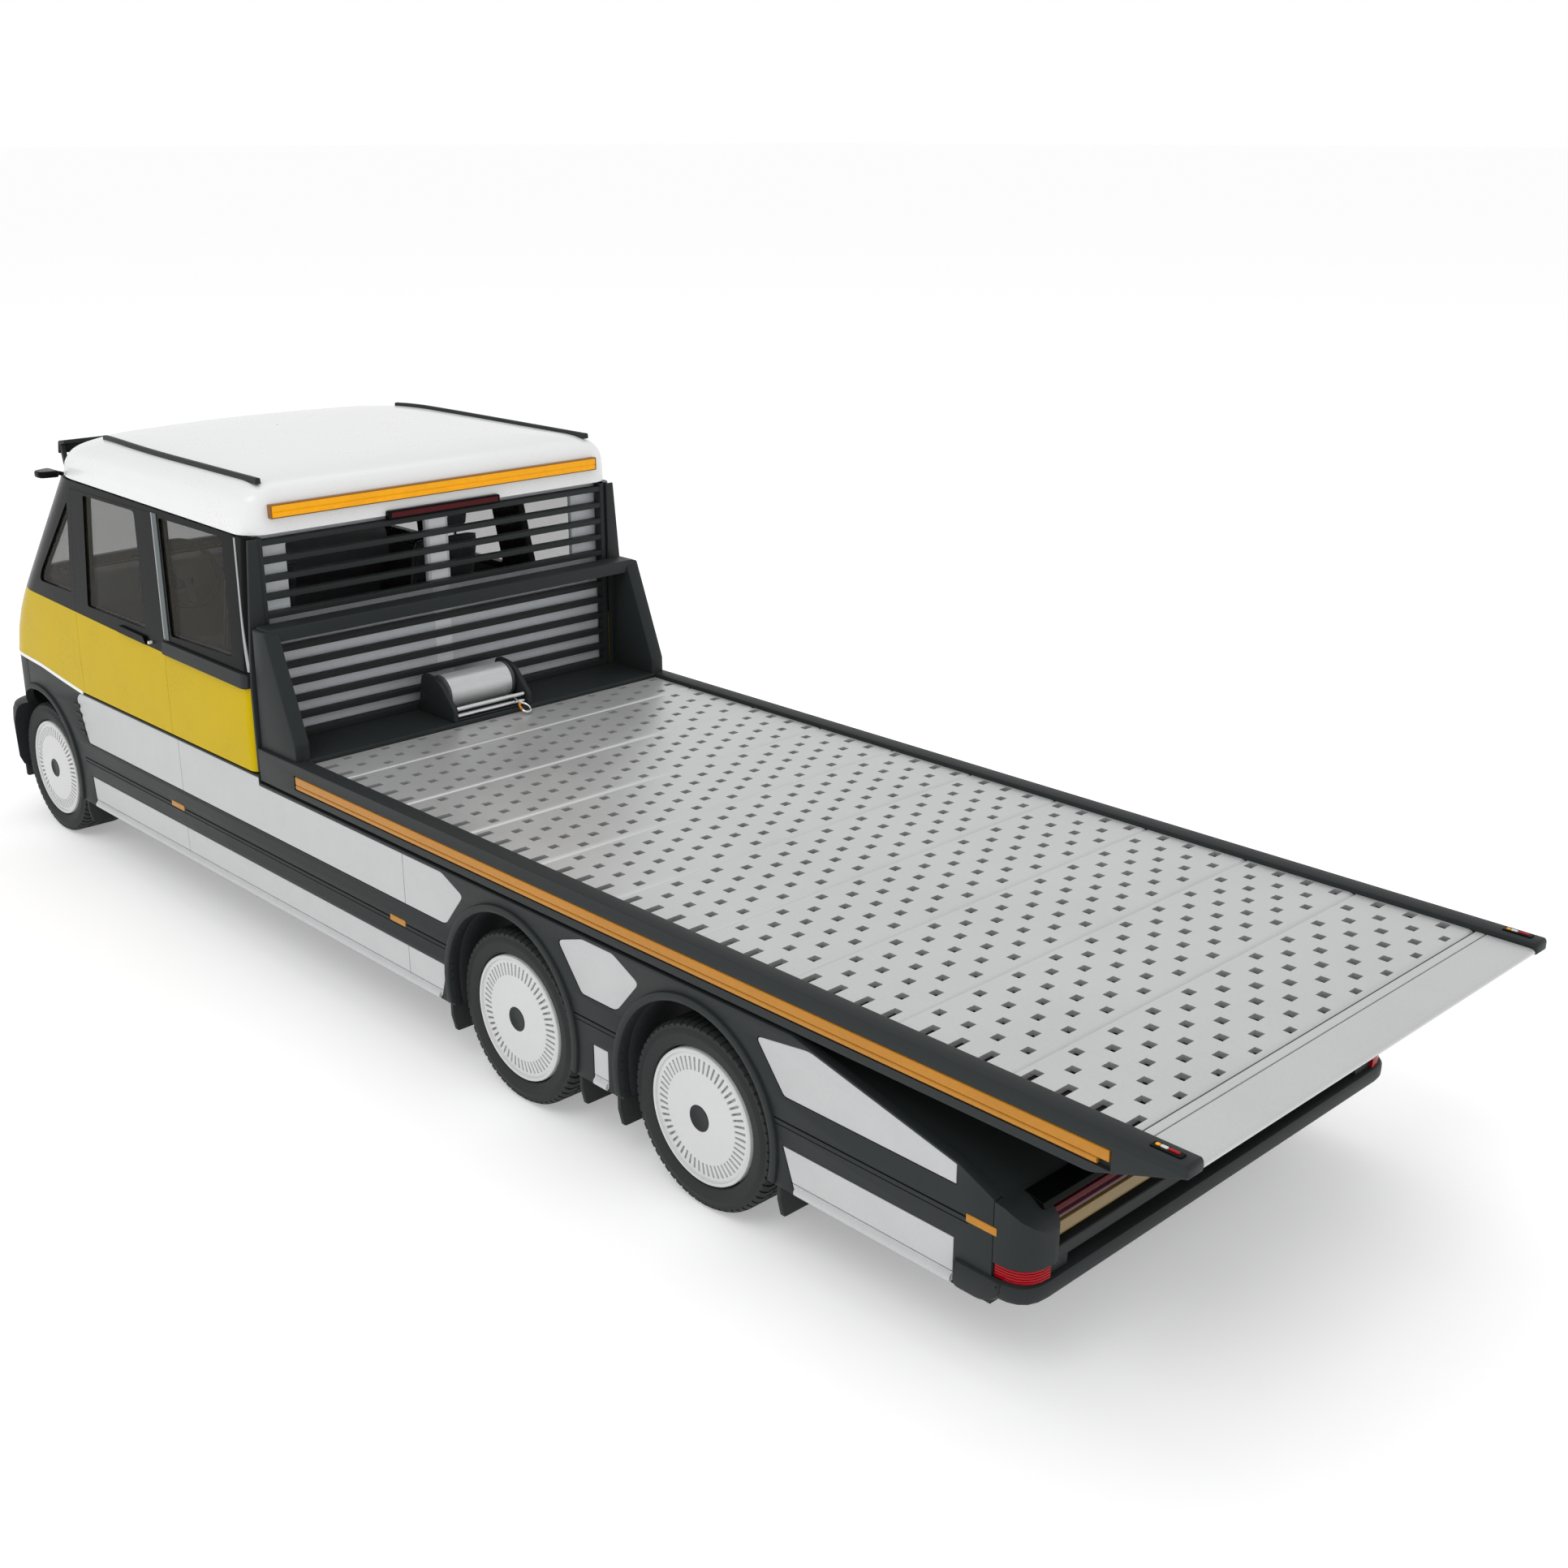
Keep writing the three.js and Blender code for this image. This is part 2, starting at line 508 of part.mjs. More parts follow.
// Pane set into a side opening, a little behind the outer face.
function sidePane(points) {
  const rings = [CAB_RINGS[2], CAB_RINGS[3]];
  const slice = cabLoft(rings, 1.2).subtract(cabLoft(stretched(rings), 2.4));
  return slice.intersect(sideView(shrunk(points, GAP), 60, 90));
}

// Door: lower panel and window frame in one, hung on the front seam.
const DOOR_WINDOW = [
  [96.6, GLASS_Z + 1, 2], [142.2, GLASS_Z + 1, 1], [142.2, 67.2, 1], [101.6, 67.2, 2],
];
function door() {
  const [skirt, middle, belt, eaves] = CAB_RINGS;
  const shell = cabShell([skirt, middle, belt, eaves]);
  const leaf = shell.intersect(sideView(doorOutline(GAP), 50, 90));
  return leaf.subtract(sideView(DOOR_WINDOW, 50, 90));
}

addSolid('cab_lower', cabLower(), YELLOW);
addSolid('cab_frame', cabFrame(), FRAME_BLACK);
addSolid('front_glass', frontGlass(), GLASS);
addPair('rear_side_glass', sidePane(SIDE_GLASS.rear), GLASS);
addPair('door', door(), YELLOW);
addPair('door_glass', sidePane(DOOR_WINDOW), GLASS);

// Black nose under the coloured shell, with a deeper bumper below.
function frontBumper() {
  const upper = [{ z: SILL_Z, nose: 231, half: BODY_Y }, { z: 2, nose: 230.5, half: BODY_Y }];
  const lower = [
    { z: SILL_Z, nose: 232, half: BODY_Y - 1.5 }, { z: -50, nose: 235, half: BODY_Y + 0.8 },
    { z: -34, nose: NOSE_X - 4, half: BODY_Y + 0.8 }, { z: -28, nose: NOSE_X - 4.6, half: BODY_Y + 0.4 },
    { z: -26.5, nose: 232, half: BODY_Y - 1.5 },
  ];
  const inside = cabLoft(stretched(upper), SKIN);
  const nose = cabLoft(upper, 0).add(cabLoft(lower, 0)).subtract(inside);
  const behind = box([0, BODY_FRONT + GAP], [-90, 90], [-90, 30]);
  const above = sideView([
    [100, 30], [100, skirtZ(100) - 0.6], [SKIRT_BREAK_X, skirtZ(SKIRT_BREAK_X) - 0.6],
    [260, skirtZ(260) - 0.6], [260, 30],
  ], -90, 90);
  const liner = archBore(AXLE_X.front, ARCH_R + LINER, LINER_Y, INNER_Y + 0.5)
    .subtract(box([0, 300], [40, 90], [-14.2, 20])).subtract(box([0, 300], [40, 90], [-90, SILL_Z]));
  const liners = [liner, solid(mirrored(geometryOf(liner)))];
  const wells = [archBore(AXLE_X.front, ARCH_R, LINER_Y - 1, 110),
    archBore(AXLE_X.front, ARCH_R, -110, 1 - LINER_Y)];
  const beam = box([212, 232], [-45, 45], [-50, -46]);
  return cut(union(nose, ...liners, beam), behind, above, ...wells);
}
addSolid('front_bumper', frontBumper(), BLACK);

// ---- roof ---------------------------------------------------------------------------------
// Rings from the eaves, which climb toward the windscreen, up to the crown.
const ROOF_RINGS = [
  { z: 69.9, nose: 180, half: 74, rise: 0.0195 }, { z: 76, nose: 177.5, half: 73.9, rise: 0.014 },
  { z: 80.6, nose: 173, half: 73, rear: 25, rise: 0.008 }, { z: 84, nose: 167, half: 70.4, rear: 26.6 },
  { z: 85.8, nose: 160, half: 66.4, rear: 30 }, { z: 86.9, nose: 150, half: 58, rear: 38 },
  { z: 87.6, nose: 136, half: 42, rear: 52 },
].map((ring) => ({ rearR: 8, noseR: 30, ...ring }));

const roofBlock = () => loft(ROOF_RINGS.map(cabRing));

function roofShell() {
  const inner = ROOF_RINGS.slice(0, 5).map((ring) => ({ ...ring, inset: 2.4, z: ring.z - 2.2 }));
  return roofBlock().subtract(loft(inner.map(cabRing)));
}

// Bar that lies on the roof and follows its surface down at the front.
const RAIL_HEIGHT = 1.7;
const RAIL_PLAN = [
  [28, 64.8], [100, 63.8], [128, 62.4], [146, 60.2],
  [146, 62.3], [128, 64.5], [100, 65.9], [28, 66.9],
];
const lifted = (body, height) => solid(geometryOf(body).translate(0, 0, height));
function roofRail() {
  const block = roofBlock();
  const strip = planView(RAIL_PLAN, 70, 100).intersect(lifted(block, RAIL_HEIGHT));
  return strip.subtract(lifted(block, GAP));
}
addSolid('roof_shell', roofShell(), WHITE);
addPair('roof_rail', roofRail(), BLACK);

// Amber bar across the back of the roof.
const LIGHT_BAR = { x: [22.6, CAB_REAR - 0.4], y: [-65.5, 65.5], z: [75, 79.2] };
addSolid('roof_light_bar', box(LIGHT_BAR.x, LIGHT_BAR.y, LIGHT_BAR.z), AMBER);

// Curved visor ahead of the windscreen on two struts.
function sunVisor() {
  const bladeOutline = [
    [181, 81.6], [187, 80.6], [187.6, 76.2], [186.4, 76], [185.4, 79.2], [181, 80.2],
  ];
  const blade = sideView(bladeOutline, -62, 62);
  const strut = [[184.4, 80], [187, 80], [185, 73], [183.4, 69], [182.2, 69], [182.4, 73]];
  const struts = [sideView(strut, 60, 62), sideView(strut, -62, -60)];
  return union(blade, ...struts);
}
addSolid('sun_visor', sunVisor(), BLACK);

// Mirror wing that folds about the pin on the window frame.
function mirrorWing() {
  const plate = planView([[156, 75.2, 2], [166.5, 75.2, 3], [163.5, 82.4, 2], [157.5, 82.4, 2]],
    MIRROR.z[0], MIRROR.z[1], 2);
  return plate.subtract(rod(0.8 + GAP, 20, EZ, [MIRROR.x, MIRROR.y, MIRROR.z[0] - 8.2], 8));
}
addPair('mirror', mirrorWing(), BLACK);

// ---- back of the cab ----------------------------------------------------------------------
const WALL_Y = 70.2;
const WALL_WINDOWS = [[[4.5, 42, 1], [58, 42, 1], [58, 65.5, 1], [4.5, 65.5, 1]]];

function backWall() {
  const wall = box(BACK_X, [-WALL_Y, WALL_Y], [CAB_SKIRT + 0.5, 69]);
  const windows = WALL_WINDOWS.flatMap((points) => {
    const opening = frontView(points, BACK_X[0] - 2, BACK_X[1] + 2);
    return [opening, solid(mirrored(geometryOf(opening)))];
  });
  return cut(wall, ...windows);
}
addSolid('cab_back_wall', backWall(), WALL_GREY);
addSolid('rear_window', box([BACK_X[1] + GAP, BACK_X[1] + 1.5], [-62, 62], [40, 67]), GLASS);

// Louvred guard: posts, top rail, sill and slats.
const SLATS = { count: 11, pitch: 5.93, top: 67.2, height: 1.9 };
function rearGuard() {
  const posts = boxes(GUARD_X, [GUARD_Y - 2, GUARD_Y], [CAB_SKIRT + 4, EAVES_Z - 0.2]);
  const sill = box(GUARD_X, [-GUARD_Y, GUARD_Y], [CAB_SKIRT + 4, 3]);
  const slats = Array.from({ length: SLATS.count }, (_, k) => {
    const z = SLATS.top - k * SLATS.pitch;
    const depth = [GUARD_X[0] + 0.3, GUARD_X[1] - 0.4];
    return box(depth, [1 - GUARD_Y, GUARD_Y - 1], [z - SLATS.height / 2, z + SLATS.height / 2]);
  });
  return union(...posts, sill, ...slats);
}
addSolid('rear_guard', rearGuard(), BLACK);

// ---- cab interior -------------------------------------------------------------------------
const FLOOR_Z = [-10.6, -8.2];
function cabFloor() {
  const floor = box([CAB_REAR + 4.7, 204], [-70, 70], FLOOR_Z);
  const nose = box([200, 222], [-50, 50], FLOOR_Z);
  const mounts = [44, 140, 210].flatMap((x) =>
    boxes([x - 4, x + 4], FRAME_Y, [FRAME_Z[1] + GAP, FLOOR_Z[0] + 0.1]));
  const seatRisers = boxes([92, 118], [30, 48], [FLOOR_Z[1] - 0.1, 5]);
  return union(floor, nose, ...mounts, ...seatRisers);
}
addSolid('cab_floor', cabFloor(), INTERIOR);

const STEER_CENTRE = [152, 34, 31];
const STEER_AXIS = new THREE.Vector3(Math.cos(0.52), 0, -Math.sin(0.52));

function dashboard() {
  const block = sideView([[174, -4, 2], [176, 12, 3], [166, 20, 2], [168, 33, 3], [186, 31, 2],
    [203, 26.2], [203, -4]], -66, 66);
  const columnCentre = new THREE.Vector3(...STEER_CENTRE).addScaledVector(STEER_AXIS, 10.5);
  const column = rod(2.2, 16, STEER_AXIS, columnCentre, 12);
  return union(block, column);
}

function steeringWheel() {
  const ring = Array.from({ length: 7 }, (_, k) => {
    const angle = (2 * Math.PI * k) / 6;
    return [13.2 + 1.1 * Math.cos(angle), 1.1 * Math.sin(angle)];
  });
  ring[6] = ring[0];
  const rim = turned(ring, STEER_AXIS, STEER_CENTRE, 24);
  const hub = rod(3, 2.4, STEER_AXIS, STEER_CENTRE, 14);
  const turn = new THREE.Quaternion().setFromUnitVectors(EY, STEER_AXIS);
  const spokes = [0, 1, 2].map((k) => {
    const geometry = new THREE.BoxGeometry(11.5, 1.2, 2).translate(6.5, 0, 0);
    geometry.rotateY((k * 2 * Math.PI) / 3 + Math.PI / 6);
    return solid(geometry.applyQuaternion(turn).translate(...STEER_CENTRE));
  });
  return union(rim, hub, ...spokes);
}
addSolid('dashboard', dashboard(), INTERIOR);
addSolid('steering_wheel', steeringWheel(), FRAME_BLACK);

// Seat with its cushion, reclined back and headrest.
function seat() {
  const cushion = planView([[84, 24, 4], [126, 24, 5], [126, 54, 5], [84, 54, 4]], 5.3, 15, 3);
  const back = sideView([[96, 9, 3], [85, 46, 3], [78.5, 46, 3], [85, 9, 3]], 25, 53);
  const post = sideView([[83.6, 44], [81.4, 52], [80, 52], [81.6, 44]], 36, 42);
  const headrest = sideView([[84, 49, 2], [82, 60, 2], [77, 60, 2], [78.5, 49, 2]], 31, 47);
  return union(cushion, back, post, headrest);
}
addPair('seat', seat(), SEAT_CLOTH);

// ---- tilting and sliding deck -------------------------------------------------------------
function tiltFrame() {
  const rails = boxes([-262, 18], TILT_Y, TILT_Z);
  const members = [12, -60, -130, -200, -250].map((x) => box([x - 3, x + 3], [-29, 29], [-15.5, -11]));
  const tube = rod(HINGE.tube, 2 * TILT_Y[1], EY, [HINGE.x, 0, HINGE.z]);
  const pin = rod(HINGE.r, 80, EY, [HINGE.x, 0, HINGE.z], 12);
  return union(...rails, ...members, tube, pin);
}

// Deck: side rails with tapered tails, cross sill, runners and the headboard on its gussets.
const RAIL_RECESS = { x: [-318, 0.5], z: [-7.2, -2.6], depth: 1.2 };
const BEAM_Z = [37.6, 41.8];
function deckFrame() {
  const rail = sideView([[SILL_X[1], RAIL_Z[1]], [TAIL_X + 0.6, RAIL_Z[1]], [TAIL_X, RAIL_Z[1] - 0.8],
    [TAIL_X, -1.8], [-313, RAIL_Z[0]], [SILL_X[1], RAIL_Z[0]]], PLATE_Y, DECK_Y);
  const recess = box(RAIL_RECESS.x, [DECK_Y - RAIL_RECESS.depth, DECK_Y + 1], RAIL_RECESS.z);
  const gusset = sideView([[SILL_X[1] - 0.2, 0], [SILL_X[1] - 1.4, BEAM_Z[1]], [14.2, BEAM_Z[1]],
    [0.8, 6.4], [0.8, 0]], 71, 77);
  const left = union(rail.subtract(recess), gusset);
  const sill = box(SILL_X, [-PLATE_Y - 1, PLATE_Y + 1], [-6, RAIL_Z[1]]);
  const members = Array.from({ length: 6 }, (_, k) => -19.2 - k * 60.2)
    .map((x) => box([x - 3, x + 3], [-PLATE_Y - 1, PLATE_Y + 1], [-5.5, -PLATE_T - GAP]));
  const runners = boxes([-318, SILL_X[1]], [TILT_Y[0] - 0.5, TILT_Y[1] + 0.5], [-10, -5]);
  const beam = box([14.4, SILL_X[1] - 1.3], [-72, 72], BEAM_Z);
  return union(left, solid(mirrored(geometryOf(left))), sill, ...members, ...runners, beam);
}

// Plates and the smooth tail plate share one flat sheet with a rounded rear edge.
const plates = box([TAIL_X + 1, SILL_X[0] - GAP], [GAP - PLATE_Y, PLATE_Y - GAP], [-PLATE_T, 0]);
const tailEdge = rod(0.85, 2 * (PLATE_Y - GAP), EY, [TAIL_X + 0.85, 0, -0.85], 12);

addSolid('tilt_frame', tiltFrame(), STEEL);
addSolid('deck_frame', deckFrame(), BLACK);
addSolid('deck_plates', union(plates, tailEdge), ALUMINIUM);
const strip = box(
  [RAIL_RECESS.x[0] + GAP, RAIL_RECESS.x[1] - GAP],
  [DECK_Y - RAIL_RECESS.depth + GAP, DECK_Y],
  [RAIL_RECESS.z[0] + GAP, RAIL_RECESS.z[1] - GAP],
);
addPair('amber_strip', strip, AMBER);

// ---- winch --------------------------------------------------------------------------------
const DRUM = { x: 13, z: 8.7, r: 6.2, half: 14.1 };
const ROLLERS = [[2.7, 5.3], [2.7, 2.9]]; // (x, z) of the upper and lower guide roller
const ROLLER_R = 0.75;
const BED_Z = RAIL_Z[1] + GAP;

// Slanted cheeks on a base plate, with the fixed spindle that the drum turns on.
function winchHousing() {
  const cheekOutline = [[1, BED_Z], [1, 6.2, 1], [12, 15.5, 3], [20, 15.5, 3], [22.4, BED_Z]];
  const cheek = sideView(cheekOutline, 14.6, 16.2);
  const cheeks = [cheek, solid(mirrored(geometryOf(cheek)))];
  const base = box([5.5, 22], [-15, 15], [BED_Z, BED_Z + 0.5]);
  const spindle = rod(1.5, 30, EY, [DRUM.x, 0, DRUM.z], 10);
  const pins = ROLLERS.map(([x, z]) => rod(0.3, 30, EY, [x, 0, z], 6));
  return union(...cheeks, base, spindle, ...pins);
}
const drumProfile = [
  [1.5 + GAP, -DRUM.half], [DRUM.r, -DRUM.half], [DRUM.r, DRUM.half], [1.5 + GAP, DRUM.half],
  [1.5 + GAP, -DRUM.half],
];
const rollerProfile = [[0.45, -14], [ROLLER_R, -14], [ROLLER_R, 14], [0.45, 14], [0.45, -14]];
addSolid('winch_housing', winchHousing(), BLACK);
addSolid('winch_drum', turned(drumProfile, EY, [DRUM.x, 0, DRUM.z], 18), ALUMINIUM);
ROLLERS.forEach(([x, z], k) => {
  addSolid(`guide_roller_${k + 1}`, turned(rollerProfile, EY, [x, 0, z], 10), CHROME);
});

// Short run of rope from the drum between the rollers to the hook.
const ROPE_Y = -10.5;
const ROPE_R = 0.25;
const rollerGapZ = (ROLLERS[0][1] + ROLLERS[1][1]) / 2;
function rope() {
  const path = [
    [DRUM.x - 5.3, DRUM.z - 4.4], [5.6, rollerGapZ + 0.1], [2.7, rollerGapZ], [1, rollerGapZ - 0.6],
  ].map(([x, z]) => new THREE.Vector3(x, ROPE_Y, z));
  const section = new THREE.Shape().absarc(0, 0, ROPE_R, 0, 2 * Math.PI);
  const extrudePath = new THREE.CatmullRomCurve3(path);
  const options = { steps: 8, extrudePath, curveSegments: 4 };
  return solid(new THREE.ExtrudeGeometry(section, options));
}
addSolid('winch_rope', rope(), CHROME);

// Open hook with a spring latch across its mouth, drawn along its own length u and width v.
const HOOK = { x: 0.4, z: 3.5, slope: 0.46, r: 0.42 };
function hook() {
  const place = (u, v) => new THREE.Vector3(
    HOOK.x - u * Math.cos(HOOK.slope), ROPE_Y + v, HOOK.z - u * Math.sin(HOOK.slope));
  const bent = [[0.3, 0], [1.2, -0.9], [2.6, -1.7], [4.4, -1.7], [5.6, -0.7], [5.5, 0.9], [4.4, 1.6]];
  const latch = [[4.6, 1.6], [1.2, 0.9], [0.4, -0.1]];
  const bar = (points, r, steps) => {
    const section = new THREE.Shape().absarc(0, 0, r, 0, 2 * Math.PI);
    const extrudePath = new THREE.CatmullRomCurve3(points.map(([u, v]) => place(u, v)));
    return solid(new THREE.ExtrudeGeometry(section, { steps, extrudePath, curveSegments: 3 }));
  };
  return union(bar(bent, HOOK.r, 12), bar(latch, HOOK.r * 0.7, 5));
}
addSolid('hook', hook(), CHROME);

// ---- whole truck --------------------------------------------------------------------------
truck.position.set(-(NOSE_X + TAIL_X) / 2, 0, -GROUND);

export default truck;
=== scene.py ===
import json
import math

import bmesh
import bpy
from mathutils import Matrix, Vector
from mathutils.bvhtree import BVHTree

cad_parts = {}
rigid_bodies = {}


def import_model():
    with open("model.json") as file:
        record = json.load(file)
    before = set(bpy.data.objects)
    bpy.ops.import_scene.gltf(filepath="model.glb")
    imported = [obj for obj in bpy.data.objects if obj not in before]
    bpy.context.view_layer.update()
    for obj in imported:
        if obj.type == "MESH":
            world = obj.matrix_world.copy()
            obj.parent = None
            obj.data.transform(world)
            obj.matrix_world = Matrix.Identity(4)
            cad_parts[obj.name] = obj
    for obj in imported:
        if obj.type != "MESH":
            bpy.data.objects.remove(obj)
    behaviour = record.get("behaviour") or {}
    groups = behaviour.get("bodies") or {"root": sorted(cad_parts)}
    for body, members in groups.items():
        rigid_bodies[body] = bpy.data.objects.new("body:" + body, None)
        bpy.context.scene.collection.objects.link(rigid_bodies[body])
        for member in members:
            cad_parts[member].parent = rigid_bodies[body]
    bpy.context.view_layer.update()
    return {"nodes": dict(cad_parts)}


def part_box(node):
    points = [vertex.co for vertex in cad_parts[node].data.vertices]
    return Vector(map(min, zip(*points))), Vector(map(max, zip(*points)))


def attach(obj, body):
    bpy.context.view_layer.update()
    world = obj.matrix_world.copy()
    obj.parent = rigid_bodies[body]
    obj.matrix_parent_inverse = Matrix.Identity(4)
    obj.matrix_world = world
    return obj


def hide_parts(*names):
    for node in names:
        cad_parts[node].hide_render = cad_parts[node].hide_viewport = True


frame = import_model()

MM = 0.001
PLATES_HIGH = Vector(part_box("deck_plates")[1])
# Lengths below are in mm, along the truck from the front edge of the deck plates, and up from their top.
ORIGIN = Vector((PLATES_HIGH.x, 0, PLATES_HIGH.z))
GROUND_Z = -PLATES_HIGH.z / MM


def at(x, y, z):
    return Vector((x, y, z)) * MM + ORIGIN


# ---- camera ---------------------------------------------------------------------------------
LENS, AZIMUTH, ELEVATION = 42.45, math.radians(225.93), math.radians(19.48)
CAMERA_PLACE = (-506.60, 352.09, 191.12)
camera_data = bpy.data.cameras.new("camera")
camera_data.sensor_width = 36
camera_data.lens = LENS
camera_data.clip_start = 0.01
camera = bpy.data.objects.new("camera", camera_data)
bpy.context.scene.collection.objects.link(camera)
level_out = math.cos(ELEVATION)
back = Vector((math.sin(AZIMUTH) * level_out, -math.cos(AZIMUTH) * level_out, math.sin(ELEVATION)))
camera.rotation_mode = "QUATERNION"
camera.rotation_quaternion = back.to_track_quat("Z", "Y")
camera.location = at(*CAMERA_PLACE)
bpy.context.scene.camera = camera


# ---- materials ------------------------------------------------------------------------------
def material_tree(name):
    mat = bpy.data.materials.new(name)
    mat.use_nodes = True
    nodes, links = mat.node_tree.nodes, mat.node_tree.links
    return mat, nodes, links, nodes["Principled BSDF"]


def linear(color):
    """Linear colour from a hexadecimal code; a linear one passes through."""
    if not isinstance(color, str):
        return color
    channels = [int(color[i:i + 2], 16) / 255 for i in (0, 2, 4)]
    return [c / 12.92 if c <= 0.04045 else ((c + 0.055) / 1.055) ** 2.4 for c in channels]


def set_values(node, values):
    for socket, value in values.items():
        node.inputs[socket].default_value = value


def add_node(nodes, kind, values=None, operation=None):
    node = nodes.new("ShaderNode" + kind)
    if operation:
        node.operation = operation
    set_values(node, values or {})
    return node


def noise(nodes, links, coord, scale, detail=2.0, stretch=(1, 1, 1)):
    mapping = add_node(nodes, "Mapping", {"Scale": stretch})
    links.new(coord.outputs["Object"], mapping.inputs["Vector"])
    tex = add_node(nodes, "TexNoise", {"Scale": scale, "Detail": detail})
    links.new(mapping.outputs["Vector"], tex.inputs["Vector"])
    return tex


def color_ramp(nodes, stops):
    """Ramp between two (position, colour) stops."""
    ramp = nodes.new("ShaderNodeValToRGB")
    for element, (position, color) in zip(ramp.color_ramp.elements, stops):
        element.position = position
        element.color = color
    return ramp


def shade(color, factor):
    return [min(1, c * factor) for c in color] + [1]


# The middle part of the noise, which carries the whole change of colour and gloss.
NOISE_RANGE = (0.3, 0.7)


def finish(name, color, rough, spread=0.05, vary=0.06, grain=700, bump=0.04, metallic=0.0, coat=0.0,
           stretch=(1, 1, 1), patch=45, specular=0.5):
    """Painted, moulded or bare surface: mottled colour, uneven gloss and a fine grain."""
    color = linear(color)
    mat, nodes, links, shader = material_tree(name)
    coord = nodes.new("ShaderNodeTexCoord")
    broad = noise(nodes, links, coord, patch, 3.0)
    fine = noise(nodes, links, coord, grain, 2.0, stretch)
    both = add_node(nodes, "Math", {1: 0.5}, "MULTIPLY_ADD")
    links.new(fine.outputs["Fac"], both.inputs[0])
    half = add_node(nodes, "Math", {1: 0.5}, "MULTIPLY")
    links.new(broad.outputs["Fac"], half.inputs[0])
    links.new(half.outputs[0], both.inputs[2])
    low, high = NOISE_RANGE
    ramp = color_ramp(nodes, ((low, shade(color, 1 - vary)), (high, shade(color, 1 + vary))))
    links.new(both.outputs[0], ramp.inputs["Fac"])
    links.new(ramp.outputs["Color"], shader.inputs["Base Color"])
    gloss = add_node(nodes, "MapRange", {"From Min": low, "From Max": high,
                                         "To Min": max(0.02, rough - spread), "To Max": rough + spread})
    links.new(both.outputs[0], gloss.inputs["Value"])
    links.new(gloss.outputs["Result"], shader.inputs["Roughness"])
    grain_bump = add_node(nodes, "Bump", {"Strength": bump, "Distance": 0.0004})
    links.new(fine.outputs["Fac"], grain_bump.inputs["Height"])
    links.new(grain_bump.outputs["Normal"], shader.inputs["Normal"])
    set_values(shader, {"Metallic": metallic, "Coat Weight": coat, "Coat Roughness": 0.08,
                        "Specular IOR Level": specular})
    return mat


CHARCOAL = finish("charcoal_satin", "272b2b", 0.5, vary=0.08, grain=1500, bump=0.05, specular=0.2)
CAB_BLACK = finish("cab_black_gloss", "080a0a", 0.25, spread=0.05, coat=0.0, bump=0.01, specular=0.07)
YELLOW = finish("yellow_gloss", "c8ab00", 0.3, spread=0.06, vary=0.05, grain=1800, bump=0.015, coat=0.02,
                patch=60,
                specular=0.06)
PANEL = finish("panel_white", "c0c2c2", 0.45, vary=0.05, grain=2200, bump=0.06, patch=90)
ROOF_WHITE = finish("roof_white", "ecedec", 0.3, vary=0.02, grain=1600, bump=0.02, coat=0.3)
WHEEL_WHITE = finish("wheel_white", "d2d3d2", 0.35, vary=0.03, grain=1800, bump=0.02)
PLATE = finish("deck_aluminium", "cfd0cf", 0.36, spread=0.07, vary=0.05, grain=1500, bump=0.05,
               metallic=0.55, patch=25)
STEEL = finish("chassis_paint", "3a3d3f", 0.5, vary=0.12, grain=900, bump=0.12)
BRUSHED = finish("brushed_steel", "cdcfcf", 0.34, spread=0.08, vary=0.08, grain=500, bump=0.08,
                 metallic=0.45,
                 stretch=(8, 0.6, 8))
CHROME = finish("chrome", "dcdddd", 0.1, spread=0.03, metallic=1.0, bump=0.01)
RUBBER = finish("tyre_rubber", "292c2c", 0.72, spread=0.08, vary=0.14, grain=1400, bump=0.18, specular=0.3)
# Both wall colours are raised far above the wall's own grey: painted light that makes up for the shade the
# wall sits in.
WALL = finish("wall_grey", "d4d8db", 0.5, vary=0.06, grain=900, bump=0.06)
WALL_LIGHT = finish("wall_strip", "eef0f1", 0.45, vary=0.04)
SILVER = finish("silver_trim", "a6aaaa", 0.35, metallic=0.3, bump=0.01)
CABIN = finish("cabin_plastic", "222528", 0.7, vary=0.15, grain=1600, bump=0.15)
CABIN_GREY = finish("cabin_grey", "5d6164", 0.6, vary=0.08, grain=1400, bump=0.10)
# Near-black painted shade for the floors of the hubcap slots and the sheet under the deck holes.
SHADE_BLACK = finish("painted_recess_shade", "0d0f0f", 0.8, vary=0.2)
# Darker grey for the walls of the deck holes and the plate edges: painted shade.
HOLE_SHADE = finish("hole_edge_shade", "565b5b", 0.6, vary=0.15)
STRIP_GREY = finish("strip_grey", "596163", 0.4, metallic=0.1, specular=0.25)
BLUE_GLOW = finish("display_blue", "0b2f8c", 0.25, vary=0.5, grain=300)
ORANGE = finish("orange_plastic", "d98a1c", 0.4, vary=0.08)


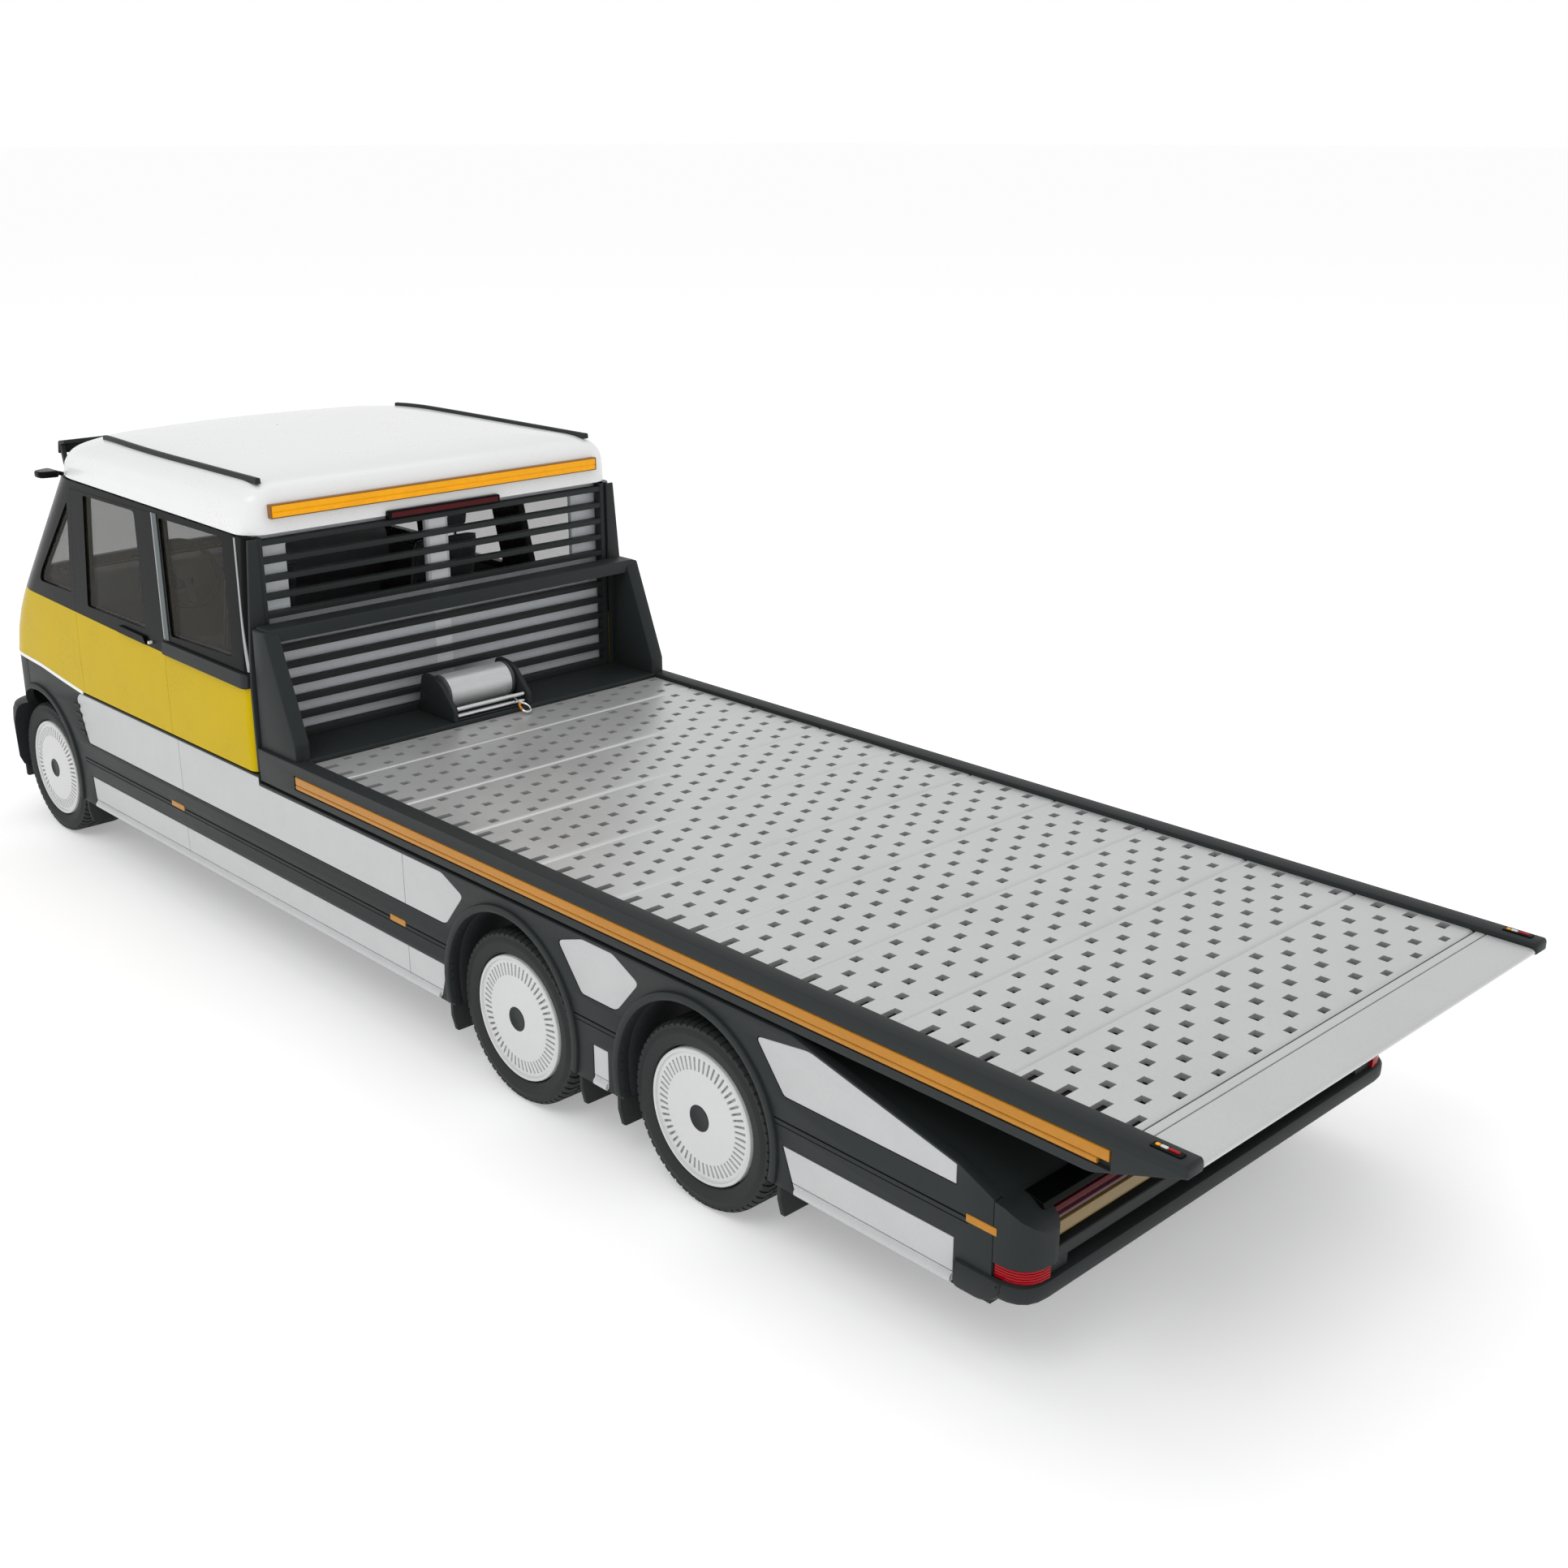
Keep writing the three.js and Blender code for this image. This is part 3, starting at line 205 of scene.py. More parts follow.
def cloth_finish(name, color):
    """Woven cloth: waves along all three axes make the threads."""
    mat, nodes, links, shader = material_tree(name)
    coord = nodes.new("ShaderNodeTexCoord")
    waves = []
    for axis in ("X", "Y", "Z"):
        wave = add_node(nodes, "TexWave", {"Scale": 550, "Distortion": 0.6})
        wave.bands_direction = axis
        links.new(coord.outputs["Object"], wave.inputs["Vector"])
        waves.append(wave.outputs["Fac"])
    total = waves[0]
    for height in waves[1:]:
        add = add_node(nodes, "Math", operation="ADD")
        links.new(total, add.inputs[0])
        links.new(height, add.inputs[1])
        total = add.outputs[0]
    ramp = color_ramp(nodes, ((0, shade(color, 0.6)), (1, shade(color, 1.5))))
    third = add_node(nodes, "Math", {1: 0.333}, "MULTIPLY")
    links.new(total, third.inputs[0])
    links.new(third.outputs[0], ramp.inputs["Fac"])
    links.new(ramp.outputs["Color"], shader.inputs["Base Color"])
    thread_bump = add_node(nodes, "Bump", {"Strength": 0.4, "Distance": 0.0003})
    links.new(total, thread_bump.inputs["Height"])
    links.new(thread_bump.outputs["Normal"], shader.inputs["Normal"])
    rough = add_node(nodes, "MapRange", {"To Min": 0.75, "To Max": 0.95})
    links.new(third.outputs[0], rough.inputs["Value"])
    links.new(rough.outputs["Result"], shader.inputs["Roughness"])
    set_values(shader, {"Sheen Weight": 0.3})
    return mat


SEAT_CLOTH = cloth_finish("seat_weave", linear("34373b"))


def lens_finish(name, color, glow=0.0, transmission=0.25, rough=0.18, specular=0.35, coat=0.25):
    mat = finish(name, color, rough, vary=0.08, grain=500, bump=0.02, coat=coat, specular=specular)
    set_values(mat.node_tree.nodes["Principled BSDF"],
               {"Transmission Weight": transmission, "Emission Color": [*linear(color), 1],
                "Emission Strength": glow})
    return mat


AMBER = lens_finish("amber_lens", "f5aa00", glow=0.12, transmission=0.05, specular=0.2, coat=0.08)
AMBER_SIDE = lens_finish("amber_side_lens", "b97c1d", transmission=0.0, specular=0.25, coat=0.1)
RED = lens_finish("red_lens", "a00414", glow=0.02, transmission=0.0, specular=0.2, coat=0.05)
DARK_RED = lens_finish("dark_red_lens", "4a040d", transmission=0.0, specular=0.15, coat=0.02)
MAUVE = lens_finish("mauve_lens", "62404a", transmission=0.0)
GOLD = lens_finish("gold_lens", "7f6a3c", transmission=0.0)
LAMP_WHITE = lens_finish("white_lens", "e8e6df", glow=0.1)


def glass_finish(name, color, alpha, specular=0.5):
    mat, nodes, links, shader = material_tree(name)
    coord = nodes.new("ShaderNodeTexCoord")
    smear = noise(nodes, links, coord, 30, 3.0)
    gloss = add_node(nodes, "MapRange", {"To Min": 0.03, "To Max": 0.07})
    links.new(smear.outputs["Fac"], gloss.inputs["Value"])
    links.new(gloss.outputs["Result"], shader.inputs["Roughness"])
    set_values(shader, {"Base Color": [*color, 1], "Alpha": alpha, "Specular IOR Level": specular})
    return mat


GLASS = glass_finish("tinted_glass", linear("2b281c"), 0.35, specular=0.2)
REAR_GLASS = glass_finish("clear_glass", linear("2a2b28"), 0.08, specular=0.25)


# ---- light ----------------------------------------------------------------------------------
def backdrop():
    """White studio, a little dimmer overhead than at the horizon, over a plain pale floor."""
    world = bpy.data.worlds.new("studio")
    bpy.context.scene.world = world
    world.use_nodes = True
    nodes, links = world.node_tree.nodes, world.node_tree.links
    background = nodes["Background"]
    background.inputs["Strength"].default_value = 1.0
    coord = nodes.new("ShaderNodeTexCoord")
    height = nodes.new("ShaderNodeSeparateXYZ")
    links.new(coord.outputs["Generated"], height.inputs[0])
    ramp = color_ramp(nodes, ((0.08, (1, 1, 1, 1)), (0.45, (0.7, 0.7, 0.71, 1))))
    links.new(height.outputs["Z"], ramp.inputs["Fac"])
    links.new(ramp.outputs["Color"], background.inputs["Color"])
    for name, place, size, power in (("key", (-0.5, 1.0, 1.5), 0.9, 5.0),
                                     ("top", (0.3, -0.3, 1.8), 1.6, 4.0)):
        light_data = bpy.data.lights.new(name, "AREA")
        light_data.shape = "DISK"
        light_data.size = size
        light_data.energy = power
        light = bpy.data.objects.new(name, light_data)
        light.location = place
        light.rotation_mode = "QUATERNION"
        light.rotation_quaternion = Vector(place).to_track_quat("Z", "Y")
        bpy.context.scene.collection.objects.link(light)


backdrop()
bpy.context.scene.view_settings.view_transform = "Standard"

# ---- geometry helpers -----------------------------------------------------------------------
scene_objects = bpy.context.scene.collection.objects


def mesh_of(name, points, faces, face_materials=None):
    mesh = bpy.data.meshes.new(name)
    mesh.from_pydata([tuple(at(*p)) for p in points], [], faces)
    if face_materials:
        mesh.polygons.foreach_set("material_index", face_materials)
    return mesh


def cleaned(mesh, merge=2e-6):
    work = bmesh.new()
    work.from_mesh(mesh)
    bmesh.ops.remove_doubles(work, verts=work.verts, dist=merge)
    bmesh.ops.dissolve_degenerate(work, edges=work.edges, dist=merge / 2)
    bmesh.ops.recalc_face_normals(work, faces=work.faces)
    work.to_mesh(mesh)
    work.free()
    return mesh


def piece(name, mesh, materials, body, slot, replaces=(), bevel=0.0, segments=2, angle=32):
    """Puts a finished mesh in the scene as one piece that rides on a body."""
    obj = bpy.data.objects.new(name, mesh)
    scene_objects.link(obj)
    mesh.materials.clear()
    for mat in materials if isinstance(materials, (list, tuple)) else [materials]:
        mesh.materials.append(mat)
    mesh.shade_smooth()
    mesh.set_sharp_from_angle(angle=math.radians(angle))
    if bevel > 0:
        modifier = obj.modifiers.new("edge", "BEVEL")
        modifier.width = bevel * MM
        modifier.segments = segments
        modifier.limit_method = "ANGLE"
        modifier.angle_limit = math.radians(angle)
        modifier.harden_normals = True
    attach(obj, body)
    if replaces:
        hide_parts(*((replaces,) if isinstance(replaces, str) else replaces))
    return obj


def rounded(points, steps=5):
    """Outline corners, each with an optional radius, as a plain list of points."""
    out = []
    count = len(points)
    for i, point in enumerate(points):
        radius = point[2] if len(point) > 2 else 0
        corner = Vector(point[:2])
        if not radius:
            out.append((corner.x, corner.y))
            continue
        before = (Vector(points[i - 1][:2]) - corner).normalized()
        after = (Vector(points[(i + 1) % count][:2]) - corner).normalized()
        start, end = corner + before * radius, corner + after * radius
        for k in range(steps + 1):
            t = k / steps
            p = start * (1 - t) ** 2 + corner * (2 * t * (1 - t)) + end * t ** 2
            out.append((p.x, p.y))
    return out


def rect(a, b, radius=None):
    """Rectangle between two values on each axis, from its low corner, with one radius for all corners."""
    corners = [(a[0], b[0]), (a[1], b[0]), (a[1], b[1]), (a[0], b[1])]
    return [(*corner, radius) for corner in corners] if radius else corners


# Where an outline's two directions and its thickness point, for each way to draw it.
AXES = {
    "side": lambda a, b, h: (a, h, b),
    "front": lambda a, b, h: (h, a, b),
    "plan": lambda a, b, h: (a, b, h),
}


def plate(name, outlines, low, high, plane, bevel=0.3):
    """Flat plate with rounded edges: the first outline is its edge and the others are holes."""
    curve = bpy.data.curves.new(name, "CURVE")
    curve.dimensions = "2D"
    curve.fill_mode = "BOTH"
    for points in outlines:
        points = rounded(points)
        spline = curve.splines.new("POLY")
        spline.points.add(len(points) - 1)
        for knot, (a, b) in zip(spline.points, points):
            knot.co = (a, b, 0, 1)
        spline.use_cyclic_u = True
    half = (high - low) / 2
    curve.extrude = max(half - bevel, 0.001)
    curve.bevel_depth = bevel
    curve.bevel_resolution = 1
    curve.offset = -bevel
    holder = bpy.data.objects.new(name, curve)
    scene_objects.link(holder)
    depsgraph = bpy.context.evaluated_depsgraph_get()
    mesh = bpy.data.meshes.new_from_object(holder.evaluated_get(depsgraph))
    bpy.data.objects.remove(holder)
    bpy.data.curves.remove(curve)
    middle = (low + high) / 2
    for vertex in mesh.vertices:
        a, b, h = vertex.co
        vertex.co = at(*AXES[plane](a, b, h + middle))
    return cleaned(mesh)


def prism(outline, low, high, plane):
    """Plain extruded outline, for cutting and for pieces that get a bevel modifier."""
    points = rounded(outline)
    count = len(points)
    verts = [AXES[plane](a, b, low) for a, b in points] + [AXES[plane](a, b, high) for a, b in points]
    faces = [list(range(count)), list(range(count, 2 * count))]
    faces += [[i, (i + 1) % count, count + (i + 1) % count, count + i] for i in range(count)]
    return cleaned(mesh_of("prism", verts, faces))


def block(x, y, z):
    return prism(rect((x[0], x[1]), (y[0], y[1])), z[0], z[1], "plan")


def lathe(profile, centre, axis=(0, 1, 0), steps=72, closed=True):
    """Body of revolution: the profile holds (radius, distance along the axis)."""
    turn = Vector((0, 1, 0)).rotation_difference(Vector(axis).normalized())
    verts, faces = [], []
    count = len(profile)
    for k in range(steps):
        angle = 2 * math.pi * k / steps
        for radius, along in profile:
            point = turn @ Vector((radius * math.cos(angle), along, radius * math.sin(angle)))
            verts.append(tuple(Vector(centre) + point))
    for k in range(steps):
        for i in range(count if closed else count - 1):
            a, b = k * count + i, k * count + (i + 1) % count
            c, d = ((k + 1) % steps) * count + (i + 1) % count, ((k + 1) % steps) * count + i
            faces.append([a, b, c, d])
    return cleaned(mesh_of("lathe", verts, faces))


def rod(radius, low, high, centre, steps):
    return lathe(rect((0.01, radius), (low, high)), centre, steps=steps)


def loft(rings, caps=True):
    verts = [p for ring in rings for p in ring]
    count = len(rings[0])
    faces = []
    for k in range(len(rings) - 1):
        for i in range(count):
            j = (i + 1) % count
            faces.append([k * count + i, k * count + j, (k + 1) * count + j, (k + 1) * count + i])
    if caps:
        faces.append(list(range(count)))
        faces.append(list(range((len(rings) - 1) * count, len(rings) * count)))
    return cleaned(mesh_of("loft", verts, faces))


def sweep(path, section, up=(0, 0, 1), closed=False):
    """Bar along a path; the section holds (sideways, upward) offsets."""
    path = [Vector(p) for p in path]
    rings = []
    for i, point in enumerate(path):
        before = path[i - 1] if i or closed else path[0]
        after = path[(i + 1) % len(path)] if closed or i + 1 < len(path) else path[-1]
        along = (after - before).normalized()
        side = along.cross(Vector(up)).normalized()
        top = side.cross(along).normalized()
        rings.append([tuple(point + side * a + top * b) for a, b in section])
    if closed:
        rings.append(rings[0])
    return loft(rings, caps=not closed)


def circle(radius, steps=10, flat=1.0):
    return [(radius * math.cos(2 * math.pi * k / steps), radius * flat * math.sin(2 * math.pi * k / steps))
            for k in range(steps)]


def spline_point(a, b, c, d, t):
    return 0.5 * ((2 * b) + (c - a) * t + (2 * a - 5 * b + 4 * c - d) * t ** 2
                  + (3 * b - a - 3 * c + d) * t ** 3)


def smooth_path(points, steps=6):
    """Catmull-Rom curve through points or through rows of any length."""
    points = [Vector(p) for p in points]
    ends = [points[0] * 2 - points[1]] + points + [points[-1] * 2 - points[-2]]
    out = []
    for i in range(1, len(ends) - 2):
        a, b, c, d = ends[i - 1:i + 3]
        for k in range(steps):
            out.append(spline_point(a, b, c, d, k / steps))
    return out + [points[-1]]


def relief(us, vs, level, place, bottom, wrap=False, pick=None, wall=0):
    """Stepped sheet over a grid of cells: each cell has its level, or None where it is open."""
    columns, rows = len(us) - 1, len(vs) - 1
    count = columns if wrap else len(us)
    verts, index, faces, kinds = [], {}, [], []

    def vertex(i, j, h):
        key = (i % count, j, round(h, 4))
        if key not in index:
            index[key] = len(verts)
            verts.append(place(us[i % count] if wrap else us[i], vs[j], h))
        return index[key]

    def get(i, j):
        if wrap:
            i %= columns
        if not (0 <= i < columns and 0 <= j < rows):
            return None
        return level(i, j)

    def add(face, kind):
        faces.append(face)
        kinds.append(kind)

    for i in range(columns):
        for j in range(rows):
            h = get(i, j)
            if h is None:
                continue
            kind = pick(i, j, h) if pick else 0
            add([vertex(i, j, h), vertex(i + 1, j, h), vertex(i + 1, j + 1, h), vertex(i, j + 1, h)], kind)
            add([vertex(i, j, bottom), vertex(i, j + 1, bottom), vertex(i + 1, j + 1, bottom),
                 vertex(i + 1, j, bottom)], 0)
            sides = (((i - 1, j), (i, j), (i, j + 1)), ((i + 1, j), (i + 1, j + 1), (i + 1, j)),
                     ((i, j - 1), (i + 1, j), (i, j)), ((i, j + 1), (i, j + 1), (i + 1, j + 1)))
            for (ni, nj), p, q in sides:
                other = get(ni, nj)
                foot = bottom if other is None else other
                if foot < h - 1e-6:
                    add([vertex(*p, h), vertex(*q, h), vertex(*q, foot), vertex(*p, foot)], wall)
    return mesh_of("relief", verts, faces, kinds)


def combined(base, tools, operation="DIFFERENCE"):
    """Boolean of a mesh with others, by the exact manifold solver."""
    holder = bpy.data.objects.new("base", base)
    scene_objects.link(holder)
    others = []
    for tool in tools:
        other = bpy.data.objects.new("tool", tool)
        scene_objects.link(other)
        modifier = holder.modifiers.new("cut", "BOOLEAN")
        modifier.operation = operation
        modifier.solver = "MANIFOLD"
        modifier.object = other
        others.append(other)
    depsgraph = bpy.context.evaluated_depsgraph_get()
    mesh = bpy.data.meshes.new_from_object(holder.evaluated_get(depsgraph))
    for obj in [holder] + others:
        bpy.data.objects.remove(obj)
    return mesh


def cut(base, *tools):
    return combined(base, tools)


def within(base, tool):
    """The part of a mesh that lies inside another."""
    return combined(base, [tool], "INTERSECT")


def flipped(mesh):
    """Mirror image across the truck's middle plane."""
    copy = mesh.copy()
    copy.transform(Matrix.Diagonal((1, -1, 1, 1)))
    copy.flip_normals()
    return copy


def joined(*meshes):
    work = bmesh.new()
    for mesh in meshes:
        work.from_mesh(mesh)
    out = bpy.data.meshes.new("joined")
    work.to_mesh(out)
    work.free()
    return out


def pair(stem, mesh, materials, body, slot, replaces=(), **options):
    """The left piece and its mirror image; {} in a name stands for the side."""
    made = []
    for side, side_mesh in (("left", mesh), ("right", flipped(mesh))):
        nodes = [n.format(side) for n in ([replaces] if isinstance(replaces, str) else replaces or [])]
        made.append(piece(f"{stem}_{side}", side_mesh, materials, body.format(side), slot, nodes,
                          **options))
    return made


# Looks shared by many pieces: material, body and slot.
TRUCK = "truck_body"
BODY_DARK = (CHARCOAL, TRUCK, "body_black")
BODY_GLOSS = (CAB_BLACK, TRUCK, "body_black")
DECK_DARK = (CHARCOAL, "deck", "deck_dark")
CABIN_DARK = (CABIN, TRUCK, "interior_dark")

# ---- floor ----------------------------------------------------------------------------------
# Width in metres, drop below the tyres in mm, and its own light.
FLOOR_SIZE, FLOOR_DROP, FLOOR_GLOW = 60.0, 0.2, 0.3


def floor():
    """Pale floor just under the tyres, lit a little from within so that it stays as pale as the backdrop."""
    paper = finish("floor_paper", (0.93, 0.93, 0.93), 0.9, spread=0.04, vary=0.01, bump=0.01, specular=0.1)
    set_values(paper.node_tree.nodes["Principled BSDF"],
               {"Emission Color": (1, 1, 1, 1), "Emission Strength": FLOOR_GLOW})
    edge = FLOOR_SIZE / MM / 2
    corners = rect((-edge, edge), (-edge, edge))
    mesh = mesh_of("floor", [(x, y, GROUND_Z - FLOOR_DROP) for x, y in corners], [[0, 1, 2, 3]])
    mesh.materials.append(paper)
    ground = bpy.data.objects.new("floor", mesh)
    scene_objects.link(ground)


floor()

# ---- wheels ---------------------------------------------------------------------------------
AXLE_X = {"front": 196.1, "mid": -111.6, "rear": -190.0}
HUB_Z, WHEEL_Y, TYRE_R = -48.5, 66.5, 26.22
TYRE_HALF, RIM_FACE, HUBCAP_R = 9.4, 9.0, 17.9


def tyre_mesh(centre):
    half = TYRE_HALF
    wall = [(19.2, half - 1.6), (19.6, half - 0.7), (20.6, half - 0.15), (22.3, half), (22.8, half + 0.12),
            (23.2, half),
            (24.6, half - 0.45), (25.5, half - 1.3), (25.75, half - 2.2)]
    profile = wall + [(r, -y) for r, y in reversed(wall)]
    carcass = lathe(profile, centre, steps=120)
    sectors = 62
    angles, across = [], [half - 0.35, half - 1.5, half - 2.4, 4.6, 4.0, 1.0, 0.4, -0.4, -1.0, -4.0, -4.6,
                          2.4 - half, 1.5 - half, 0.35 - half]
    for k in range(sectors):
        angles += [2 * math.pi * k / sectors, 2 * math.pi * (k + 0.72) / sectors]
    crown = {across[0]: 25.0, across[1]: 25.75, across[-1]: 25.0, across[-2]: 25.75}

    def level(i, j):
        groove_across = across[j] in (4.6, 0.4, -4.0)
        return 0.0 if groove_across else (TYRE_R - 26.0 + 0.15 if i % 2 == 0 else -0.12
                                          if j in (0, 1, 2, 10, 11, 12) else 0.1)

    def place(u, v, h):
        radius = crown.get(v, 25.85) + h
        twist = u + 0.012 * math.cos(v)
        return (centre[0] + radius * math.cos(twist), centre[1] + v, centre[2] + radius * math.sin(twist))

    tread = relief(angles + [2 * math.pi], across, level, place, -1.2, wrap=True)
    return joined(carcass, cleaned(tread))


def hubcap_mesh(centre):
    face = WHEEL_Y + RIM_FACE
    sectors = 54
    angles = []
    for k in range(sectors):
        angles += [2 * math.pi * k / sectors, 2 * math.pi * (k + 0.4) / sectors]
    radii = [3.7, 5.5, 8, 10.5, 12.6, 13.0, 16.6, 17.0, HUBCAP_R]

    def level(i, j):
        return -1.1 if i % 2 == 0 and radii[j] == 13.0 else 0.0

    def place(u, v, h):
        dome = -0.25 - 1.05 * (v / HUBCAP_R) ** 2
        y = (face + dome + h + 0.75) if h > -2 else face - 3.2
        return (centre[0] + v * math.cos(u), y, centre[2] + v * math.sin(u))

    # The slot floors take the second material, near-black painted shade for the depth of the slots.
    return cleaned(relief(angles + [2 * math.pi], radii, level, place, -3, wrap=True, pick=lambda i, j,
                          h: 1 if h < -1 else 0))


for axle, x in AXLE_X.items():
    centre = (x, WHEEL_Y, HUB_Z)
    face = RIM_FACE
    body = f"wheel_{axle}_{{}}"
    pair(f"tyre_tread_{axle}", tyre_mesh(centre), RUBBER, body, "tyre_rubber", f"tyre_{axle}_{{}}",
         angle=28)
    pair(f"hubcap_{axle}", hubcap_mesh(centre), [WHEEL_WHITE, SHADE_BLACK], body, "wheel_white",
         f"rim_{axle}_{{}}", angle=28)
    lip = [(17.7, face - 2.4), (17.75, face - 0.55), (18.0, face + 0.1), (18.4, face + 0.25), (18.8, face),
           (18.95, face - 0.7),
           (18.95, face - 15.5), (17.9, face - 15.5), (16.8, face - 3)]
    pair(f"wheel_lip_{axle}", lathe(lip, centre, steps=96), WHEEL_WHITE, body, "wheel_white")
    cap = [(0.01, face - 2), (3.75, face - 2), (3.8, face + 0.35), (3.6, face + 0.55), (2.9, face + 0.6),
           (2.6, face + 0.45),
           (0.01, face + 0.4)]
    pair(f"wheel_centre_{axle}", lathe(cap, centre, steps=40), CHARCOAL, body, "wheel_white")
    disc = [(3.5, 3.7), (6.2, 3.7), (6.4, 4.4), (13.8, 4.4), (13.8, 5.5), (6.0, 5.5), (3.5, 5.3)]
    pair(f"brake_disc_{axle}", lathe(disc, centre, steps=48), STEEL, body, "chassis_steel")

# ---- deck -----------------------------------------------------------------------------------
PLATE_LENGTH, PLATE_Y, SEAM_GAP, LIP = 33.34, 71.9, 0.3, 1.5
SEAMS = [0.2] + [-19.9 - PLATE_LENGTH * k for k in range(10)]
HOLE_HALF_Y, COLUMN_PITCH, COLUMNS, COLUMN_SHIFT = 1.48, 7.17, 20, -0.9


def deck_plate(index, front, rear):
    """Perforated plate between two seams, with staggered square holes and its rear edge rolled down."""
    last = index == len(SEAMS) - 2
    # Holes per row of the plate, the first one's place, their pitch and half their length.
    usual, tail = (7, 3.0, 4.33, 1.25), (7, 3.4, 4.56, 1.37)
    count, first, pitch, hole = (4, 2.1, 4.36, 1.2) if index == 0 else tail if last else usual
    edge = rear + SEAM_GAP
    us, hole_rows = [edge, edge + 0.25, edge + 0.6, edge + 1.0, edge + LIP], {}
    for r in reversed(range(count)):
        x = front - first - pitch * r
        hole_rows[len(us)] = r
        us += [x - hole, x + hole]
    us.append(front - SEAM_GAP)
    vs, hole_columns = [-PLATE_Y], {}
    for c in range(COLUMNS):
        y = COLUMN_PITCH * (c - (COLUMNS - 1) / 2) + COLUMN_SHIFT
        hole_columns[len(vs)] = c
        vs += [max(y - HOLE_HALF_Y, 0.6 - PLATE_Y) if c else 0.6 - PLATE_Y,
               y + HOLE_HALF_Y if c < COLUMNS - 1 else PLATE_Y - 0.6]
    vs.append(PLATE_Y)

    def level(i, j):
        if i in hole_rows and j in hole_columns and (hole_rows[i] + hole_columns[j] + index) % 2 == 0:
            return None
        return 0.0

    def place(u, v, h):
        roll = max(0.0, 1 - (u - edge) / LIP)
        return (u, v, h - 0.5 * roll ** 2 if h > -1 else h)

    # The hole walls and plate edges take the darker second material, painted shade inside the holes.
    mesh = cleaned(relief(us, vs, level, place, -1.4, wall=1))
    piece(f"deck_plate_{index + 1:02d}", mesh, [PLATE, HOLE_SHADE], "deck", "deck_plate", "deck_plates",
          angle=35)


for index in range(len(SEAMS) - 1):
    deck_plate(index, SEAMS[index], SEAMS[index + 1])
tail = [(-320.2 - 0.22, 0), (-320.2 - 0.22, -1.4), (-322.9, -1.4), (-322.9, 0)]
piece("tail_strip", prism(tail, -PLATE_Y, PLATE_Y, "side"), PLATE, "deck", "deck_plate", bevel=0.2)
tail = [(-323.2, 0), (-323.2, -1.5), (-334.6, -1.7), (-335.6, -1.5, 0.3), (-336.15, -0.9, 0.4),
        (-335.5, -0.12, 0.5), (-334.2, 0)]
piece("tail_plate", prism(tail, -PLATE_Y, PLATE_Y, "side"), PLATE, "deck", "deck_plate", bevel=0.2)

SILL_FRONT = 23.2
rail = [(SILL_FRONT, 1.4), (-335.6, 1.4, 0.4), (-336.2, 0.6, 0.4), (-336.2, -1.6, 0.5), (-313, -9.9, 1.5),
        (SILL_FRONT, -9.9)]
rail_mesh = plate("rail", [rail], 72.1, 78.0, "side", bevel=0.7)
recess = block((-318.2, 0.7), (76.9, 80), (-7.3, -2.4))
pair("deck_rail", cut(rail_mesh, recess), *DECK_DARK, "deck_frame")
AMBER_BANDS = {
    "upper": ([(76.9, -5.5), (77.85, -5.5, 0.2), (77.9, -2.9, 0.3), (76.9, -2.5)], -317.6),
    "lower": ([(76.9, -7.1), (77.75, -7.1, 0.2), (78.0, -6.0, 0.2), (77.7, -5.65), (76.9, -5.65)], -314.6),
}
for name, (section, rear) in AMBER_BANDS.items():
    pair(f"amber_rib_{name}", prism(section, rear, 0.2, "front"), AMBER_SIDE, "deck", "lamp_amber",
         "amber_strip_{}", bevel=0.08)

# Rail-top marker lamps: a dark base with a small amber, white and red lens.
for name, x0, x1, mat in (("amber", -327.7, -326.6, AMBER), ("white", -329.6, -327.8, LAMP_WHITE),
                          ("red", -332.4, -329.7, RED)):
    pair(f"rail_lamp_{name}", block((x0, x1), (74.8, 75.7), (1.2, 2.05)), mat, "deck", "lamp_amber",
         bevel=0.3)
lamp_seat = prism(rect((-333.4, -325.8), (74.2, 76.5), 0.5), 1.0, 1.75, "plan")
pair("rail_lamp_seat", lamp_seat, CAB_BLACK, "deck", "deck_dark", bevel=0.2)

sill = [(SILL_FRONT - 0.1, 1.4), (0.3, 1.4, 0.4), (0.3, -1.4), (0.9, -6), (SILL_FRONT - 0.1, -6)]
piece("deck_sill", plate("sill", [sill], -72.2, 72.2, "side", bevel=0.25), *DECK_DARK)
for k in range(5):
    x = SEAMS[1] - 2 * PLATE_LENGTH * k
    member = prism(rect((x - 3, x + 3), (-5.5, -2.25)), -72.3, 72.3, "side")
    piece(f"deck_member_{k + 1}", member, *DECK_DARK, bevel=0.3)
# Near-black sheet under the deck plates: painted shade seen through the holes and seams.
shade_sheet = block((-321.4, -0.4), (-71.6, 71.6), (-2.15, -1.7))
piece("deck_underlay", shade_sheet, SHADE_BLACK, "deck", "deck_dark", bevel=0.1)
runner = prism(rect((-318, SILL_FRONT), (-10, -5)), 27.5, 33.5, "side")
pair("deck_runner", runner, *DECK_DARK, bevel=0.4)
gusset = [(21.8, 41.2, 0.6), (14.4, 41.2, 0.6), (0.9, 6.8, 0.5), (0.9, 1.2), (23.0, 1.2)]
gusset_mesh = plate("gusset", [gusset], 71.2, 76.6, "side", bevel=0.6)
pair("headboard_gusset", gusset_mesh, *DECK_DARK)
beam = [(14.0, 37.5), (22.2, 37.5), (22.2, 41.8, 0.6), (14.0, 41.8, 0.6)]
piece("headboard_beam", plate("beam", [beam], -74.9, 74.9, "side", bevel=0.5), *DECK_DARK)

# ---- body sides -----------------------------------------------------------------------------
BODY_Y = 78.2
ARCH_R, ARCH_Z = 29.2, -45.0


def arc(cx, cz, radius, start, stop, steps):
    return [(cx + radius * math.cos(math.radians(start + (stop - start) * k / steps)),
             cz + radius * math.sin(math.radians(start + (stop - start) * k / steps)))
            for k in range(steps + 1)]


